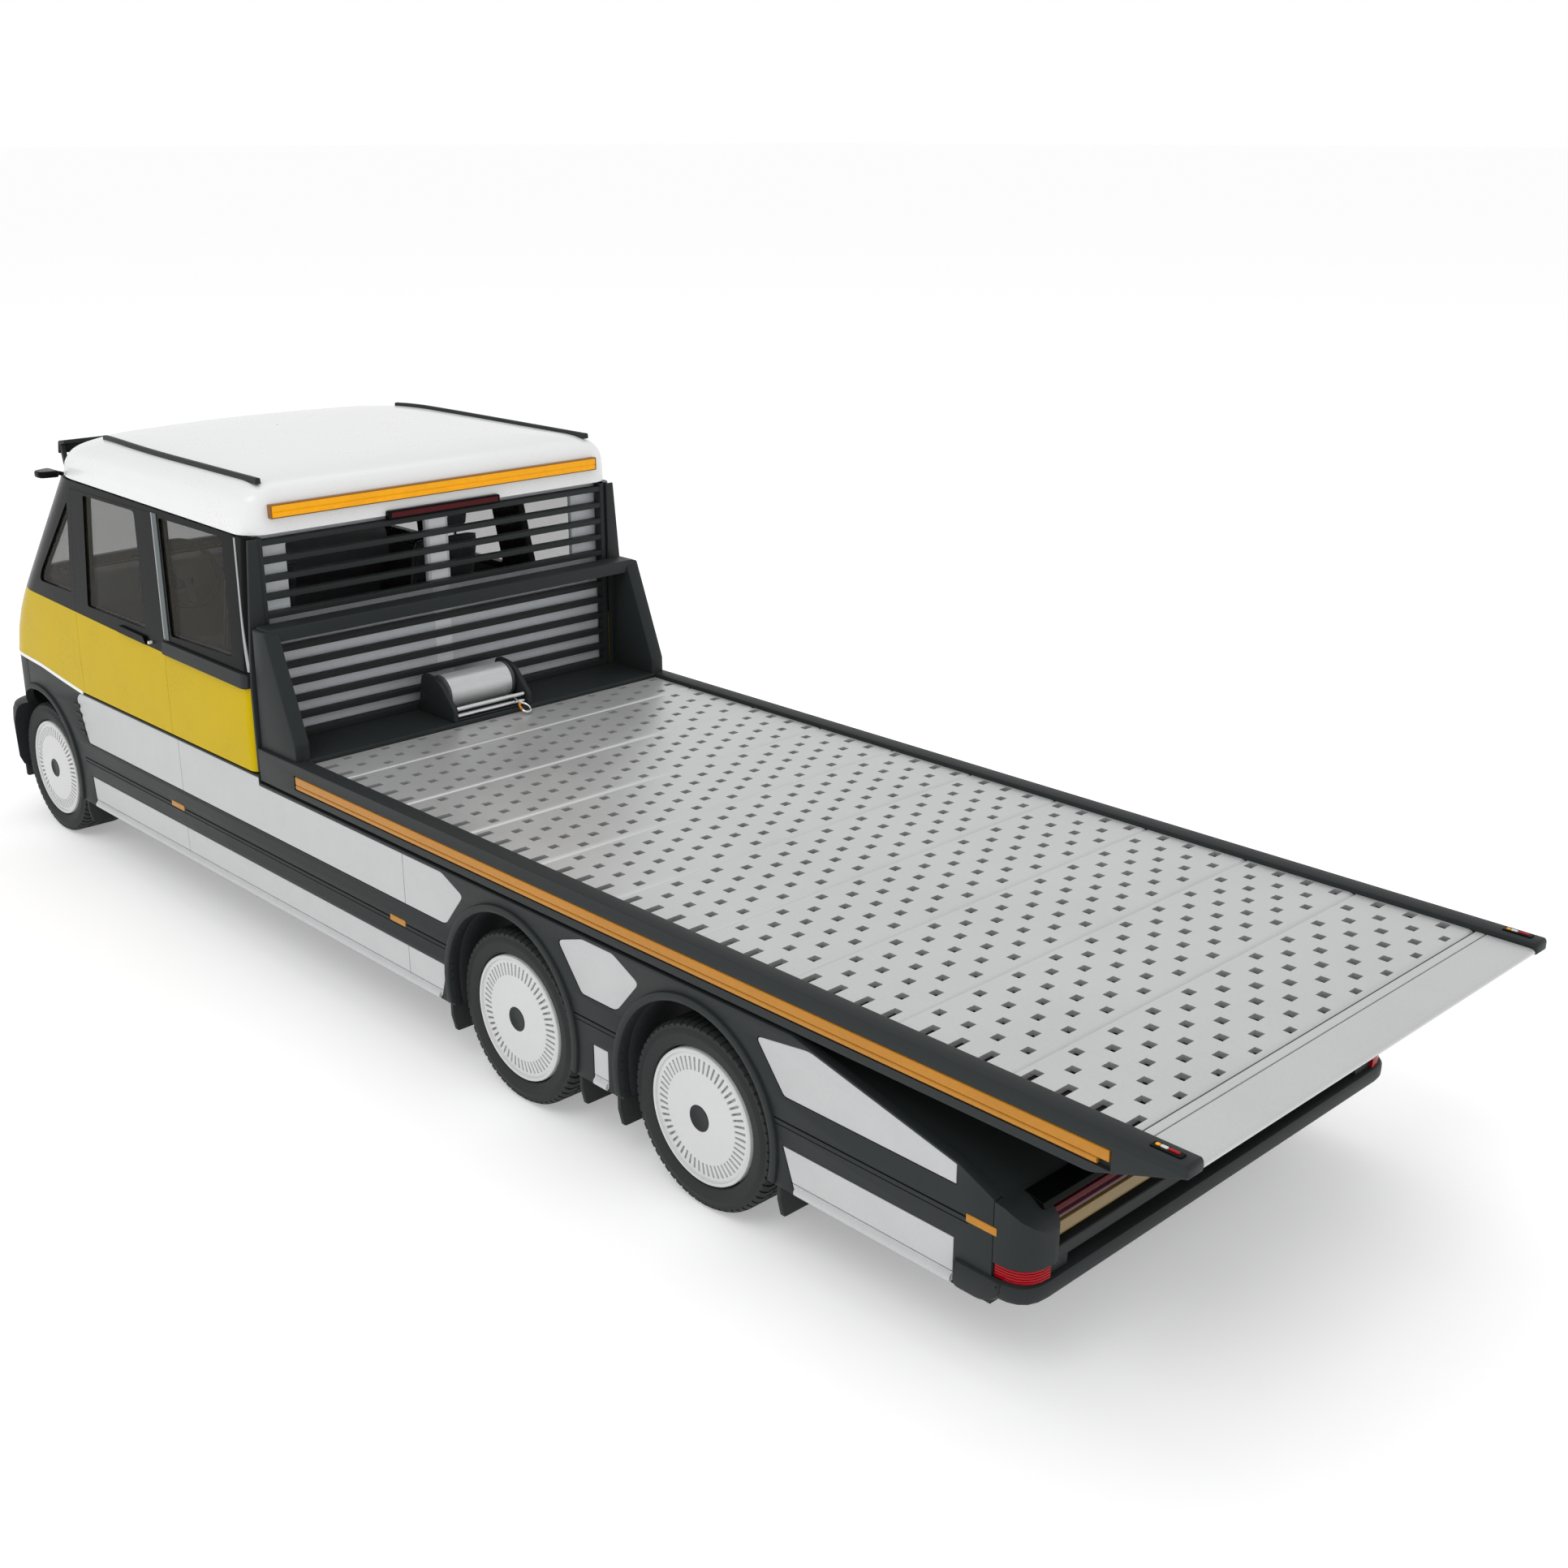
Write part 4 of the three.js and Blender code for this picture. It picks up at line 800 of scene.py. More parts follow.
def skin_outline():
    """Black side skin, with its lower edge broken by the three wheel arches."""
    sill = -53.5
    drop = math.degrees(math.asin((sill - ARCH_Z) / ARCH_R))
    points = [(-289, sill)]
    for axle in ("rear", "mid"):
        points += arc(AXLE_X[axle], ARCH_Z, ARCH_R, 180 - drop, drop, 40)
    front = [p for p in arc(AXLE_X["front"], ARCH_Z, ARCH_R, 180 - drop, drop, 40) if p[0] < 203.4]
    points += front + [(203.5, front[-1][1]), (203.5, -4.0), (154, -8.2), (23.6, -8.2), (23.6, -10.6),
                       (-226, -10.6), (-278.2, -22.2), (-289, -27.0)]
    return points


INLAYS = {
    "upper": [(161.5, -11.5, 2), (154.7, -28, 1), (-81.4, -28, 2), (-91.2, -16.2, 2), (-80.6, -11.6, 1),
              (24, -11.6), (24, -8.9), (158, -8.9, 1)],
    "between": [(-135.3, -15.2, 2), (-145.3, -28, 1), (-160.1, -28, 2), (-169.7, -16.8, 2),
                (-159, -11.6, 1), (-146, -11.6, 1)],
    "rear": [(-213.5, -15.2, 2), (-223.5, -28, 1), (-278.2, -28), (-278.2, -22.8), (-232, -12.6, 2)],
    "lower": [(155.6, -41.5), (154.4, -53, 1), (-77, -53, 1), (-80.6, -41.5)],
    "lower_between": [(-149.5, -41.5), (-149.5, -53), (-155.8, -53), (-155.8, -41.5)],
    "lower_rear": [(-223, -41.5), (-227.2, -53, 1), (-278, -53), (-278, -41.5)],
}
skin = plate("skin", [skin_outline()] + list(INLAYS.values()), 75.2, BODY_Y, "side", bevel=0.18)
grooves = [block((-282, 160), (77.7, 80), (-34.95, -34.45)), block((-282, 160), (77.9, 80), (-36.3, -36.0))]
pair("side_skin", combined(skin, grooves), *BODY_DARK, "body_side_{}", angle=25)


def inset(points, by):
    """Outline moved inward by a small step, for a pad that sits in its window."""
    flat = [Vector(p[:2]) for p in points]
    count = len(flat)
    area = sum(flat[i - 1].x * flat[i].y - flat[i].x * flat[i - 1].y for i in range(count))
    sign = 1 if area > 0 else -1
    out = []
    for i in range(count):
        before = (flat[i] - flat[i - 1]).normalized()
        after = (flat[(i + 1) % count] - flat[i]).normalized()
        n1, n2 = Vector((-before.y, before.x)) * sign, Vector((-after.y, after.x)) * sign
        shift = (n1 + n2) * (by / (1 + n1.dot(n2)))
        out.append((flat[i].x + shift.x, flat[i].y + shift.y, *points[i][2:]))
    return out


for name, points in INLAYS.items():
    pad = plate("pad", [inset(points, 0.12)], 75.6, BODY_Y - 0.12, "side", bevel=0.22)
    cuts = []
    if name in ("upper", "lower"):
        cuts = [block((x - 0.14, x + 0.14), (77.4, 80), (-60, 0)) for x in (79.9, -60.2)]
    if name.startswith("lower"):
        cuts.append(block((-300, 200), (77.6, 80), (-50.65, -50.35)))
    pair(f"side_panel_{name}", combined(pad, cuts) if cuts else pad, PANEL, TRUCK, "panel_white",
         "side_inlay_{}", angle=25)

# Bright half-round moulding along the lower edge of each lower panel.
for name, x0, x1 in (("front", 154.2, -76.6), ("between", -149.9, -155.4), ("rear", -227.6, -277.7)):
    section = [(76.6, -53.3), (78.3, -53.4), (79.0, -52.9, 0.4), (79.0, -51.9, 0.6), (78.1, -51.0),
               (76.6, -51.0)]
    pair(f"sill_moulding_{name}", prism(section, min(x0, x1), max(x0, x1), "front"), PANEL, TRUCK,
         "panel_white", bevel=0.15)

for k, (x0, x1) in enumerate(((80.4, 89.7), (-59.6, -51.4), (-290.1, -281.4))):
    pair(f"marker_{k + 1}", block((x0, x1), (76.8, 78.45), (-35.7, -33.7)), AMBER_SIDE, TRUCK, "lamp_amber",
         bevel=0.25)

for axle, x in AXLE_X.items():
    stop = 60 if axle == "front" else -15
    inner = arc(x, ARCH_Z, ARCH_R, 195, stop, 48)
    outer = arc(x, ARCH_Z, ARCH_R + 2.4, stop, 195, 48)
    lip_mesh = plate("flare", [inner + outer], 76.4, 79.1, "side", bevel=0.6)
    trim = [block((-400, 400), (60, 90), (-80, -53.4)), block((203.4, 300), (60, 90), (-90, 30))]
    pair(f"arch_flare_{axle}", combined(lip_mesh, trim), *BODY_DARK, angle=28)
    inner = arc(x, ARCH_Z, ARCH_R + 0.1, 200, -20, 48)
    outer = arc(x, ARCH_Z, ARCH_R + 1.3, -20, 200, 48)
    liner = combined(plate("liner", [inner + outer], 50, 76.6, "side", bevel=0.2), trim)
    pair(f"arch_liner_{axle}", liner, CABIN, TRUCK, "body_black", angle=28)
    for end in (-1, 1):
        if axle == "front" and end > 0:
            continue
        flap_x = x + end * 31
        flap = [(61.8, -45), (77.4, -45), (77.4, -58), (76.2, -63.3, 0.8), (62.6, -63.3, 1.5), (61.8, -56)]
        flap_mesh = plate("flap", [flap], flap_x - 0.7, flap_x + 0.7, "front", bevel=0.2)
        pair(f"mudflap_{axle}_{'front' if end > 0 else 'rear'}", flap_mesh, RUBBER, TRUCK, "body_black")

# Small louvres in the skin behind the front wheel arch.
for k in range(4):
    z = -13.5 - 3.4 * k
    fin = prism(rect((158.9 - 0.9 * k, 163.6 - 0.9 * k), (z, z - 1.4)), 77.9, 78.5, "side")
    pair(f"vent_fin_{k + 1}", fin, *BODY_GLOSS, bevel=0.15)

# ---- rear of the chassis --------------------------------------------------------------------
TAIL_SLOPE = [(-222, -11.2), (-278.2, -22.9), (-290.6, -27.9)]
cover = prism(TAIL_SLOPE + [(x, z - 2.8) for x, z in reversed(TAIL_SLOPE)], 46, 75.1, "side")
pair("rear_cover_slope", cover, *BODY_DARK, "rear_cover", bevel=0.3)
piece("rear_wall", block((-292, -289), (-75, 75), (-50, -28.6)), *BODY_DARK, bevel=0.4)

# Round-topped block over each corner lamp.
BLOCK_LOW, BLOCK_IN = -42.5, 66.3
corner = [(-289.2, BODY_Y), (-299.2, BODY_Y, 9.0), (-299.2, BLOCK_IN, 2.5), (-289.2, BLOCK_IN)]
crown = [(-289.2, BLOCK_LOW), (-289.2, -27.3), (-292.5, -28.0, 1.5), (-299.6, -32.8, 4),
         (-299.6, BLOCK_LOW)]
corner_block = within(prism(corner, BLOCK_LOW, -26, "plan"), prism(crown, 60, 80, "side"))
pair("corner_block", corner_block, *BODY_DARK, bevel=1.1, segments=4)

HEADER_Y, LENS_Y = 69.8, 66.1
header = [(-290.4, -30.0), (-290.4, -27.4), (-295.8, -28.4, 0.3), (-296.4, -30.0)]
piece("rear_header", prism(header, -HEADER_Y, HEADER_Y, "side"), *BODY_GLOSS, "rear_lamp_bar", bevel=0.25)
LENSES = (("trim", -31.3, -30.1, STRIP_GREY, 295.2), ("stop", -33.7, -31.4, DARK_RED, 295.5),
          ("mauve", -35.1, -33.8, MAUVE, 295.8), ("reflector", -39.2, -35.3, GOLD, 296.2))
for name, z0, z1, mat, depth in LENSES:
    section = [(-292, z0), (-depth, z0 + 0.2), (-depth - 0.3, (z0 + z1) / 2), (-depth, z1 - 0.2),
               (-292, z1)]
    piece(f"rear_lens_{name}", prism(section, -LENS_Y, LENS_Y, "side"), mat, TRUCK, "lamp_red", bevel=0.15)
piece("rear_shelf", block((-297.6, -290), (-LENS_Y, LENS_Y), (-43.8, -40.3)), *BODY_DARK, bevel=0.5)

BUMPER_TOP, BUMPER_LOW, RIB_PITCH = -46.3, -51.0, 0.68
lamp_rings = []
for k in range(6):
    z = BUMPER_TOP + 0.05 + RIB_PITCH * k
    for grow, dz in ((0.0, 0.0), (0.0, 0.46), (0.4, 0.54), (0.4, 0.62)):
        outline = rounded([(-289.3, 77.5 - grow), (-298.4 + grow, 77.5 - grow, 8), (-298.4 + grow, 69.2),
                           (-289.3, 69.2)], 6)
        lamp_rings.append([(x, y, z + dz) for x, y in outline])
pair("corner_lamp", loft(lamp_rings), RED, TRUCK, "lamp_red", angle=25)
lamp_core = prism([(-289.3, 76.6), (-297.4, 76.6, 7), (-297.4, 62), (-289.3, 62)], BUMPER_TOP - 0.4,
                  BLOCK_LOW + 0.4, "plan")
pair("lamp_core", lamp_core, *BODY_DARK)

bumper = [(-284, 78.9, 0.8), (-299.2, 78.9, 8.5), (-299.2, -78.9, 8.5), (-284, -78.9, 0.8), (-284, -74.5),
          (-292.5, -73),
          (-292.5, 73), (-284, 74.5)]
piece("rear_bumper_bar", plate("bumper", [bumper], BUMPER_LOW, BUMPER_TOP, "plan", bevel=1.2), *BODY_DARK,
      "rear_bumper", angle=28)
arm = [(-278.4, BUMPER_TOP, 0.8), (-278.4, -53.4, 2.0), (-288.0, -53.4, 3), (-292.2, -50.0, 2),
       (-292.2, BUMPER_TOP, 0.5)]
pair("bumper_arm", plate("arm", [arm], 74.6, 79.3, "side", bevel=1.0), *BODY_DARK, angle=28)

# ---- cab ------------------------------------------------------------------------------------
CAB_REAR, SKIN = 24.6, 3.0
NOSE_R, REAR_R, NOSE_BOW = 26, 4, 4.0
CAB_PROFILE = [(-14, 232.4, 78.2), (-3, 231.3, 78.2), (6, 228.4, 78.2), (14, 224.2, 78.1),
               (21, 219.6, 77.8),
               (30, 212.7, 77.15), (69.4, 181.5, 74.0), (73, 178.6, 73.7)]


def cab_at(z):
    """Nose and half width of the cab at a height."""
    knots = CAB_PROFILE
    z = min(max(z, knots[0][0]), knots[-1][0])
    for low, high in zip(knots, knots[1:]):
        if z <= high[0]:
            t = (z - low[0]) / (high[0] - low[0])
            return low[1] + (high[1] - low[1]) * t, low[2] + (high[2] - low[2]) * t
    return knots[-1][1:]


def plan_ring(nose, half, rear, nose_r, rear_r, bow, steps=14):
    points = []

    def corner(x, y, r, start):
        for k in range(steps + 1):
            angle = math.radians(start + 90 * k / steps)
            points.append((x + r * math.cos(angle), y + r * math.sin(angle)))

    for k in range(1, 8):
        t = k / 8
        points.append((rear + rear_r + (nose - nose_r - rear - rear_r) * t, -half))
    corner(nose - nose_r, nose_r - half, nose_r, -90)
    straight = half - nose_r
    for k in range(1, 16):
        y = -straight + 2 * straight * k / 16
        points.append((nose + bow * (1 - (y / straight) ** 2), y))
    corner(nose - nose_r, half - nose_r, nose_r, 0)
    for k in range(1, 8):
        t = k / 8
        points.append((nose - nose_r + (rear + rear_r - nose + nose_r) * t, half))
    corner(rear + rear_r, half - rear_r, rear_r, 90)
    corner(rear + rear_r, rear_r - half, rear_r, 180)
    return points


def cab_solid(low, high, inset_by, step=4.0):
    count = max(2, int((high - low) / step) + 1)
    rings = []
    for k in range(count + 1):
        z = low + (high - low) * k / count
        nose, half = cab_at(z)
        ring = plan_ring(nose - inset_by, half - inset_by, CAB_REAR + inset_by, NOSE_R - inset_by,
                         max(REAR_R - inset_by, 0.6), NOSE_BOW)
        rings.append([(x, y, z) for x, y in ring])
    return loft(rings)


def cab_skin(low, high, outer=0.0, thick=SKIN, **options):
    return cut(cab_solid(low, high, outer, **options),
               cab_solid(low - 2, high + 2, outer + thick, **options))


# Upper edge of the coloured lower cab, and the skirt line under it.
BELT = [(20, 20.6), (80, 21.3), (122, 22.4), (160, 23.6), (200, 24.9), (250, 26.2)]
SKIRT = [(20, -7.6), (154, -7.6), (180, -5.2), (205, -3.2), (225, -2.5), (250, -2.3)]
FAR = 95


def between(lower, upper, y0=-FAR, y1=FAR):
    """Block between two side-view lines."""
    return prism([*lower, *reversed(upper)], y0, y1, "side")


yellow_band = between(SKIRT, BELT)
lower = within(cab_skin(-13, 30), yellow_band)
DOOR_GAP = 0.09
DOOR_REAR, DOOR_FRONT = 82.8, 152.6
nose_cut = block((-50, DOOR_FRONT + DOOR_GAP), (-FAR, FAR), (-40, 90))
quarter_cut = block((DOOR_REAR - DOOR_GAP, 400), (-FAR, FAR), (-40, 90))
nose_panel = cut(lower, nose_cut)
piece("cab_nose_panel", nose_panel, YELLOW, TRUCK, "cab_yellow", "cab_lower", angle=25)
bay = block((0, 28.6), (-70.8, 70.8), (-40, 90))
piece("cab_quarter_panels", cut(lower, quarter_cut, bay), YELLOW, TRUCK, "cab_yellow", angle=25)
sill_bar = block((29, 204), (70.5, 74.2), (-7.6, -4.6))
pair("cab_inner_sill", sill_bar, CABIN, TRUCK, "cab_black", bevel=0.4)
door_cut = block((DOOR_REAR + DOOR_GAP, DOOR_FRONT - DOOR_GAP), (40, FAR), (-40, 90))
pair("door_panel", within(lower, door_cut), YELLOW, "door_leaf_{}", "cab_yellow", "door_{}", angle=25)

# Dark trim on the inside of the coloured panels.
lining = cab_skin(-6.8, 24.6, outer=SKIN + 0.14, thick=0.5)
piece("cab_nose_lining", cut(lining, nose_cut), *CABIN_DARK, angle=25)
piece("cab_quarter_lining", cut(lining, quarter_cut, bay), *CABIN_DARK, angle=25)
door_trim = block((DOOR_REAR + 2, DOOR_FRONT - 4), (40, FAR), (-6, 90))
pair("door_lining", within(lining, door_trim), CABIN, "door_leaf_{}", "interior_dark", angle=25)

belt_line = [(x, z + 0.12) for x, z in BELT]
EAVES = [(20, 69.2), (151, 71.6), (250, 73.4)]
frame_shell = within(cab_skin(18, 74), between(belt_line, EAVES))
DOOR_WINDOW = [(96.2, 27.4, 2), (142.2, 27.4, 1), (142.2, 67.6, 1.2), (102.3, 67.6, 2)]
REAR_WINDOW = [(77.6, 28.4, 0.8), (84.0, 67.8, 0.8), (40.6, 67.8, 2.4), (35.4, 29.6, 1.2)]
QUARTER = [(156.0, 63.6, 1), (156.0, 30.2), (183.2, 30.2, 2.5), (181.2, 34.5, 2)]
SCREEN = [(-65, 29.5, 5), (65, 29.5, 5), (59.5, 67.2, 4), (-59.5, 67.2, 4)]


def side_cut(outline, low=60, high=FAR):
    return [prism(outline, low, high, "side"), prism(outline, -high, -low, "side")]


door_hole = [(DOOR_REAR, -10), (DOOR_FRONT, -10), (DOOR_FRONT, 68.9), (DOOR_REAR + 0.157 * 42.4, 68.9),
             (DOOR_REAR, 26.5)]
shell_cuts = [prism(SCREEN, 150, 260, "front"), block((0, 28.6), (-70.8, 70.8), (10, 90)),
              *side_cut(QUARTER), *side_cut(REAR_WINDOW), *side_cut(door_hole)]
piece("cab_window_frame", combined(frame_shell, shell_cuts), CAB_BLACK, TRUCK, "cab_black", "cab_frame",
      angle=25)
# The leaf's inner rear corner swings back a little before it swings out, so the gap there is wider.
SWING_GAP = 0.5
leaf = [(x + (SWING_GAP if x < 100 else -DOOR_GAP), z - (DOOR_GAP if z > 60 else 0)) for x, z in door_hole]
door_frame = cut(within(frame_shell, prism(leaf, 40, FAR, "side")), prism(DOOR_WINDOW, 40, FAR, "side"))
pair("door_window_frame", door_frame, CAB_BLACK, "door_leaf_{}", "cab_black", angle=25)

pane = cab_skin(24, 73.5, outer=0.7, thick=1.3)
PANES = (
    ("door_pane", DOOR_WINDOW, "door_leaf_{}", "door_glass_{}"),
    ("quarter_pane", QUARTER, TRUCK, ()),
    ("rear_side_pane", REAR_WINDOW, TRUCK, "rear_side_glass_{}"),
)
for stem, window, body, replaced in PANES:
    pane_mesh = within(pane, prism(inset(window, 0.1), 40, FAR, "side"))
    pair(stem, pane_mesh, GLASS, body, "tinted_glass", replaced, angle=25)
piece("windscreen", within(pane, prism(inset(SCREEN, 0.1), 150, 260, "front")), GLASS, TRUCK,
      "tinted_glass", "front_glass", angle=25)

# Strips beside the rear window and at the cab's rear corner: a grey one and two thin bright lines.
skin_thin = cab_skin(18, 74, outer=-0.25, thick=0.6)
STRIPS = {
    "pillar_strip": ([(81.95, 26.6), (82.55, 26.6), (89.2, 69.0), (88.6, 69.0)], SILVER),
    "pillar_strip_inner": ([(78.9, 26.6), (81.9, 26.6), (88.55, 69.0), (85.5, 69.0)], STRIP_GREY),
    "corner_strip": ([(25.4, 26.2), (26.3, 26.2), (32.4, 68.9), (31.5, 68.9)], SILVER),
}
for stem, (outline, mat) in STRIPS.items():
    pair(stem, within(skin_thin, prism(outline, 40, FAR, "side")), mat, TRUCK, "bright_metal", angle=25)
moulding = within(cab_skin(18, 30, outer=-1.3, thick=3.0),
                  prism([(25.4, 20.7, 0.8), (82.4, 21.6, 0.8), (82.6, 26.0, 1.2), (25.4, 25.6, 1.2)], 70,
                        FAR, "side"))
pair("belt_moulding", moulding, CHARCOAL, TRUCK, "cab_black", angle=25, bevel=0.35)
handle = within(cab_skin(18, 30, outer=-1.1, thick=2.4),
                prism([(95, 22.3, 0.8), (117, 22.9, 0.8), (116.4, 25.4, 1.0), (97, 24.9, 1.0)], 40, FAR,
                      "side"))
pair("door_handle", handle, CAB_BLACK, "door_leaf_{}", "cab_black", angle=25, bevel=0.4)
# The lock takes the glowing white lens material, a painted glint on a part that is no lamp.
pair("door_lock",
     lathe([(0.01, 77.6), (0.55, 77.6), (0.55, 78.9), (0.4, 79.0), (0.01, 79.0)], (92.4, 0, 23.6),
           steps=20), LAMP_WHITE, "door_leaf_{}", "bright_metal")

# White accent line that follows the skirt of the nose.
accent_low = [(152, -8.9), (170, -7.2), (190, -5.0), (205, -4.2), (250, -3.4)]
accent_high = [(x, z + 1.35) for x, z in accent_low]
accent = within(cab_skin(-13, 2, outer=-0.15, thick=1.5, step=2), between(accent_low, accent_high))
piece("nose_accent", cut(accent, block((0, 154.5), (-FAR, FAR), (-40, 40))), ROOF_WHITE, TRUCK,
      "roof_white", angle=25)


def nose_ring(z, nose, half, inset_by=0.0, corner_r=NOSE_R):
    ring = plan_ring(nose - inset_by, half - inset_by, CAB_REAR + inset_by, corner_r - inset_by, REAR_R,
                     NOSE_BOW)
    return [(x, y, z) for x, y in ring]


upper_nose = [(-54.5, 231.0), (-40, 231.6), (-20, 231.2), (2, 230.5)]
black_nose = loft([nose_ring(z, nose, 78.2) for z, nose in upper_nose])
hollow = loft([nose_ring(z + (-2 if k == 0 else 2 if k == 3 else 0), nose, 78.2, 3)
               for k, (z, nose) in enumerate(upper_nose)])
BUMPER_CORNER_R = 14
low_bumper = [(-54.4, 230.5, 76.9), (-53.2, 233.0, 78.3), (-50, 234.9, 79.0), (-34.5, 236.0, 79.0),
              (-30, 235.6, 78.7),
              (-27.8, 234.5, 78.2), (-26.6, 231.6, 76.8)]
bumper_body = loft([nose_ring(z, nose, half, corner_r=BUMPER_CORNER_R) for z, nose, half in low_bumper])
skirt_top = [(100, 30), (100, -8.6), (152, -9.1), (170, -7.5), (190, -5.3), (205, -4.5), (260, -3.7),
             (260, 30)]
nose_cuts = [block((0, 203.7), (-FAR, FAR), (-90, 40)), prism(skirt_top, -FAR, FAR, "side")]
arch_tool = rod(ARCH_R + 0.02, -110, 110, (AXLE_X["front"], 0, ARCH_Z), 120)
intake = [block((228, 250), (-38 + 19.4 * k, -20.8 + 19.4 * k), (-46.5, -34.5)) for k in range(4)]
nose_mesh = cut(combined(black_nose, [bumper_body], "UNION"), hollow, *nose_cuts, arch_tool, *intake)
piece("nose_and_bumper", nose_mesh, *BODY_DARK, "front_bumper", angle=25)
splash = plate("splash", [[(61.8, -46), (75.6, -46), (75.6, -59.5, 0.8), (62.6, -59.5, 1.5)]], 226.3, 227.7,
               "front", bevel=0.2)
pair("front_splash_guard", splash, RUBBER, TRUCK, "body_black")
for k in range(3):
    fin = block((224, 236.5), (-37.5, 37.5), (-44.6 + 3.6 * k, -43.6 + 3.6 * k))
    piece(f"intake_fin_{k + 1}", fin, *BODY_GLOSS, bevel=0.3)
lamp_shell = cab_skin(-20, -5, outer=-0.2, thick=2.0, step=2)
lamp_window = [prism([(36, -17.5, 1.5), (66, -16.5, 1.5), (69, -10.5, 1.5), (34, -12.5, 1.5)], 200, 260,
                     "front"),
               prism([(-36, -17.5, 1.5), (-66, -16.5, 1.5), (-69, -10.5, 1.5), (-34, -12.5, 1.5)], 200, 260,
                     "front")]
for side, window in zip(("left", "right"), lamp_window):
    piece(f"headlamp_{side}", within(lamp_shell, window), LAMP_WHITE, TRUCK, "roof_white", angle=25)

# ---- roof -----------------------------------------------------------------------------------
ROOF = [(69.9, 180, 74, 24.6, 0.0195), (73, 179, 74.0, 24.6, 0.0165), (76, 177.5, 73.9, 24.6, 0.014),
        (80.6, 173, 73, 25, 0.008),
        (84, 167, 70.4, 26.8, 0), (85.9, 160, 66.2, 30.4, 0), (86.9, 150, 58, 38, 0),
        (87.35, 140, 47, 48, 0), (87.6, 122, 28, 66, 0)]


def roof_rings(inset_by=0.0, drop=0.0, rows=None):
    out = []
    for z, nose, half, rear, rise in smooth_path(ROOF[:rows], 4):
        ring = plan_ring(nose - inset_by, half - inset_by, rear + inset_by,
                         30 - inset_by if half > 32 else 22, 8, NOSE_BOW)
        out.append([(x, y, min(z + rise * (x - CAB_REAR), 87.6) - drop) for x, y in ring])
    return out


roof_solid = loft(roof_rings())
roof_inner = loft(roof_rings(2.4, 2.2, 6))
roof_mesh = cut(roof_solid, roof_inner)
piece("roof_skin", roof_mesh, ROOF_WHITE, TRUCK, "roof_white", "roof_shell", angle=40)

surface = bmesh.new()
surface.from_mesh(roof_solid)
roof_tree = BVHTree.FromBMesh(surface)


def roof_height(x, y):
    hit = roof_tree.ray_cast(at(x, y, 120), Vector((0, 0, -1)))[0]
    return (hit.z - ORIGIN.z) / MM if hit else 80


RAIL_KNOTS = [(28.4, 65.85, 0), (64, 65.4, 0), (100, 64.8, 0), (128, 63.4, 0), (146, 61.4, 0)]
RAIL_LEVEL_FROM = 58
rail_path = [(x, y, roof_height(max(x, RAIL_LEVEL_FROM), y) + 0.45)
             for x, y, _ in smooth_path(RAIL_KNOTS, 8)]
rail_section = rounded([(-1.0, -1.0), (1.0, -1.0), (0.85, 0.9, 0.4), (-0.85, 0.9, 0.4)], 3)
pair("roof_bar", sweep(rail_path, rail_section), *BODY_DARK, "roof_rail_{}", bevel=0.1)

bar = [(22.62, 75.2), (22.62, 76.4, 0.2), (22.95, 76.75), (22.62, 77.1, 0.2), (22.62, 78.95, 0.25),
       (24.4, 79.0), (24.4, 75.2)]
piece("light_bar_lens", prism(bar, -65.0, 65.0, "side"), AMBER, TRUCK, "lamp_amber", "roof_light_bar",
      bevel=0.12)
bezel = plate("bezel", [rect((-65.6, 65.6), (74.85, 79.35), 0.3),
                        rect((-65.1, 65.1), (75.15, 79.05))], 22.75, 24.9, "front", bevel=0.1)
piece("light_bar_bezel", bezel, finish("brown_frame", "8a5a1c", 0.4), TRUCK, "lamp_amber")
lamp_house = rect((-22.6, 22.6), (68.6, 71.6), 0.8)
piece("brake_lamp_house", prism(lamp_house, 22.7, 25.4, "front"), CAB_BLACK, TRUCK, "cab_black", bevel=0.35)
piece("brake_lamp_lens", prism(rect((-21.6, 21.6), (69.2, 71.0), 0.5), 22.45, 23.2, "front"), DARK_RED,
      TRUCK, "lamp_red", bevel=0.2)

blade = [(181.2, 81.5), (186.4, 80.8, 1.0), (187.6, 76.2), (186.4, 76.0), (185.3, 79.4, 0.6), (181.2, 80.4)]
piece("visor_blade", prism(blade, -62, 62, "side"), *BODY_DARK, "sun_visor", bevel=0.2)
strut = [(184.6, 80.2), (186.4, 80), (184.8, 73), (183.3, 69.4), (182.3, 69.4), (182.7, 73)]
pair("visor_strut", prism(strut, 60.2, 61.8, "side"), *BODY_DARK, bevel=0.25)
wing = [(156, 75.3, 2), (166.5, 75.3, 3), (163.4, 82.3, 2), (157.5, 82.3, 2)]
pair("mirror_wing_cover", prism(wing, 72.5, 74.9, "plan"), CAB_BLACK, "mirror_wing_{}", "body_black",
     "mirror_{}", bevel=0.7, segments=3)
mirror_arm = sweep([(161.2, 72.4, 72.8), (161.2, 74.0, 73.3), (161.2, 75.9, 73.6)], circle(0.75, 12),
                   up=(1, 0, 0))
pair("mirror_arm", mirror_arm, *BODY_GLOSS)

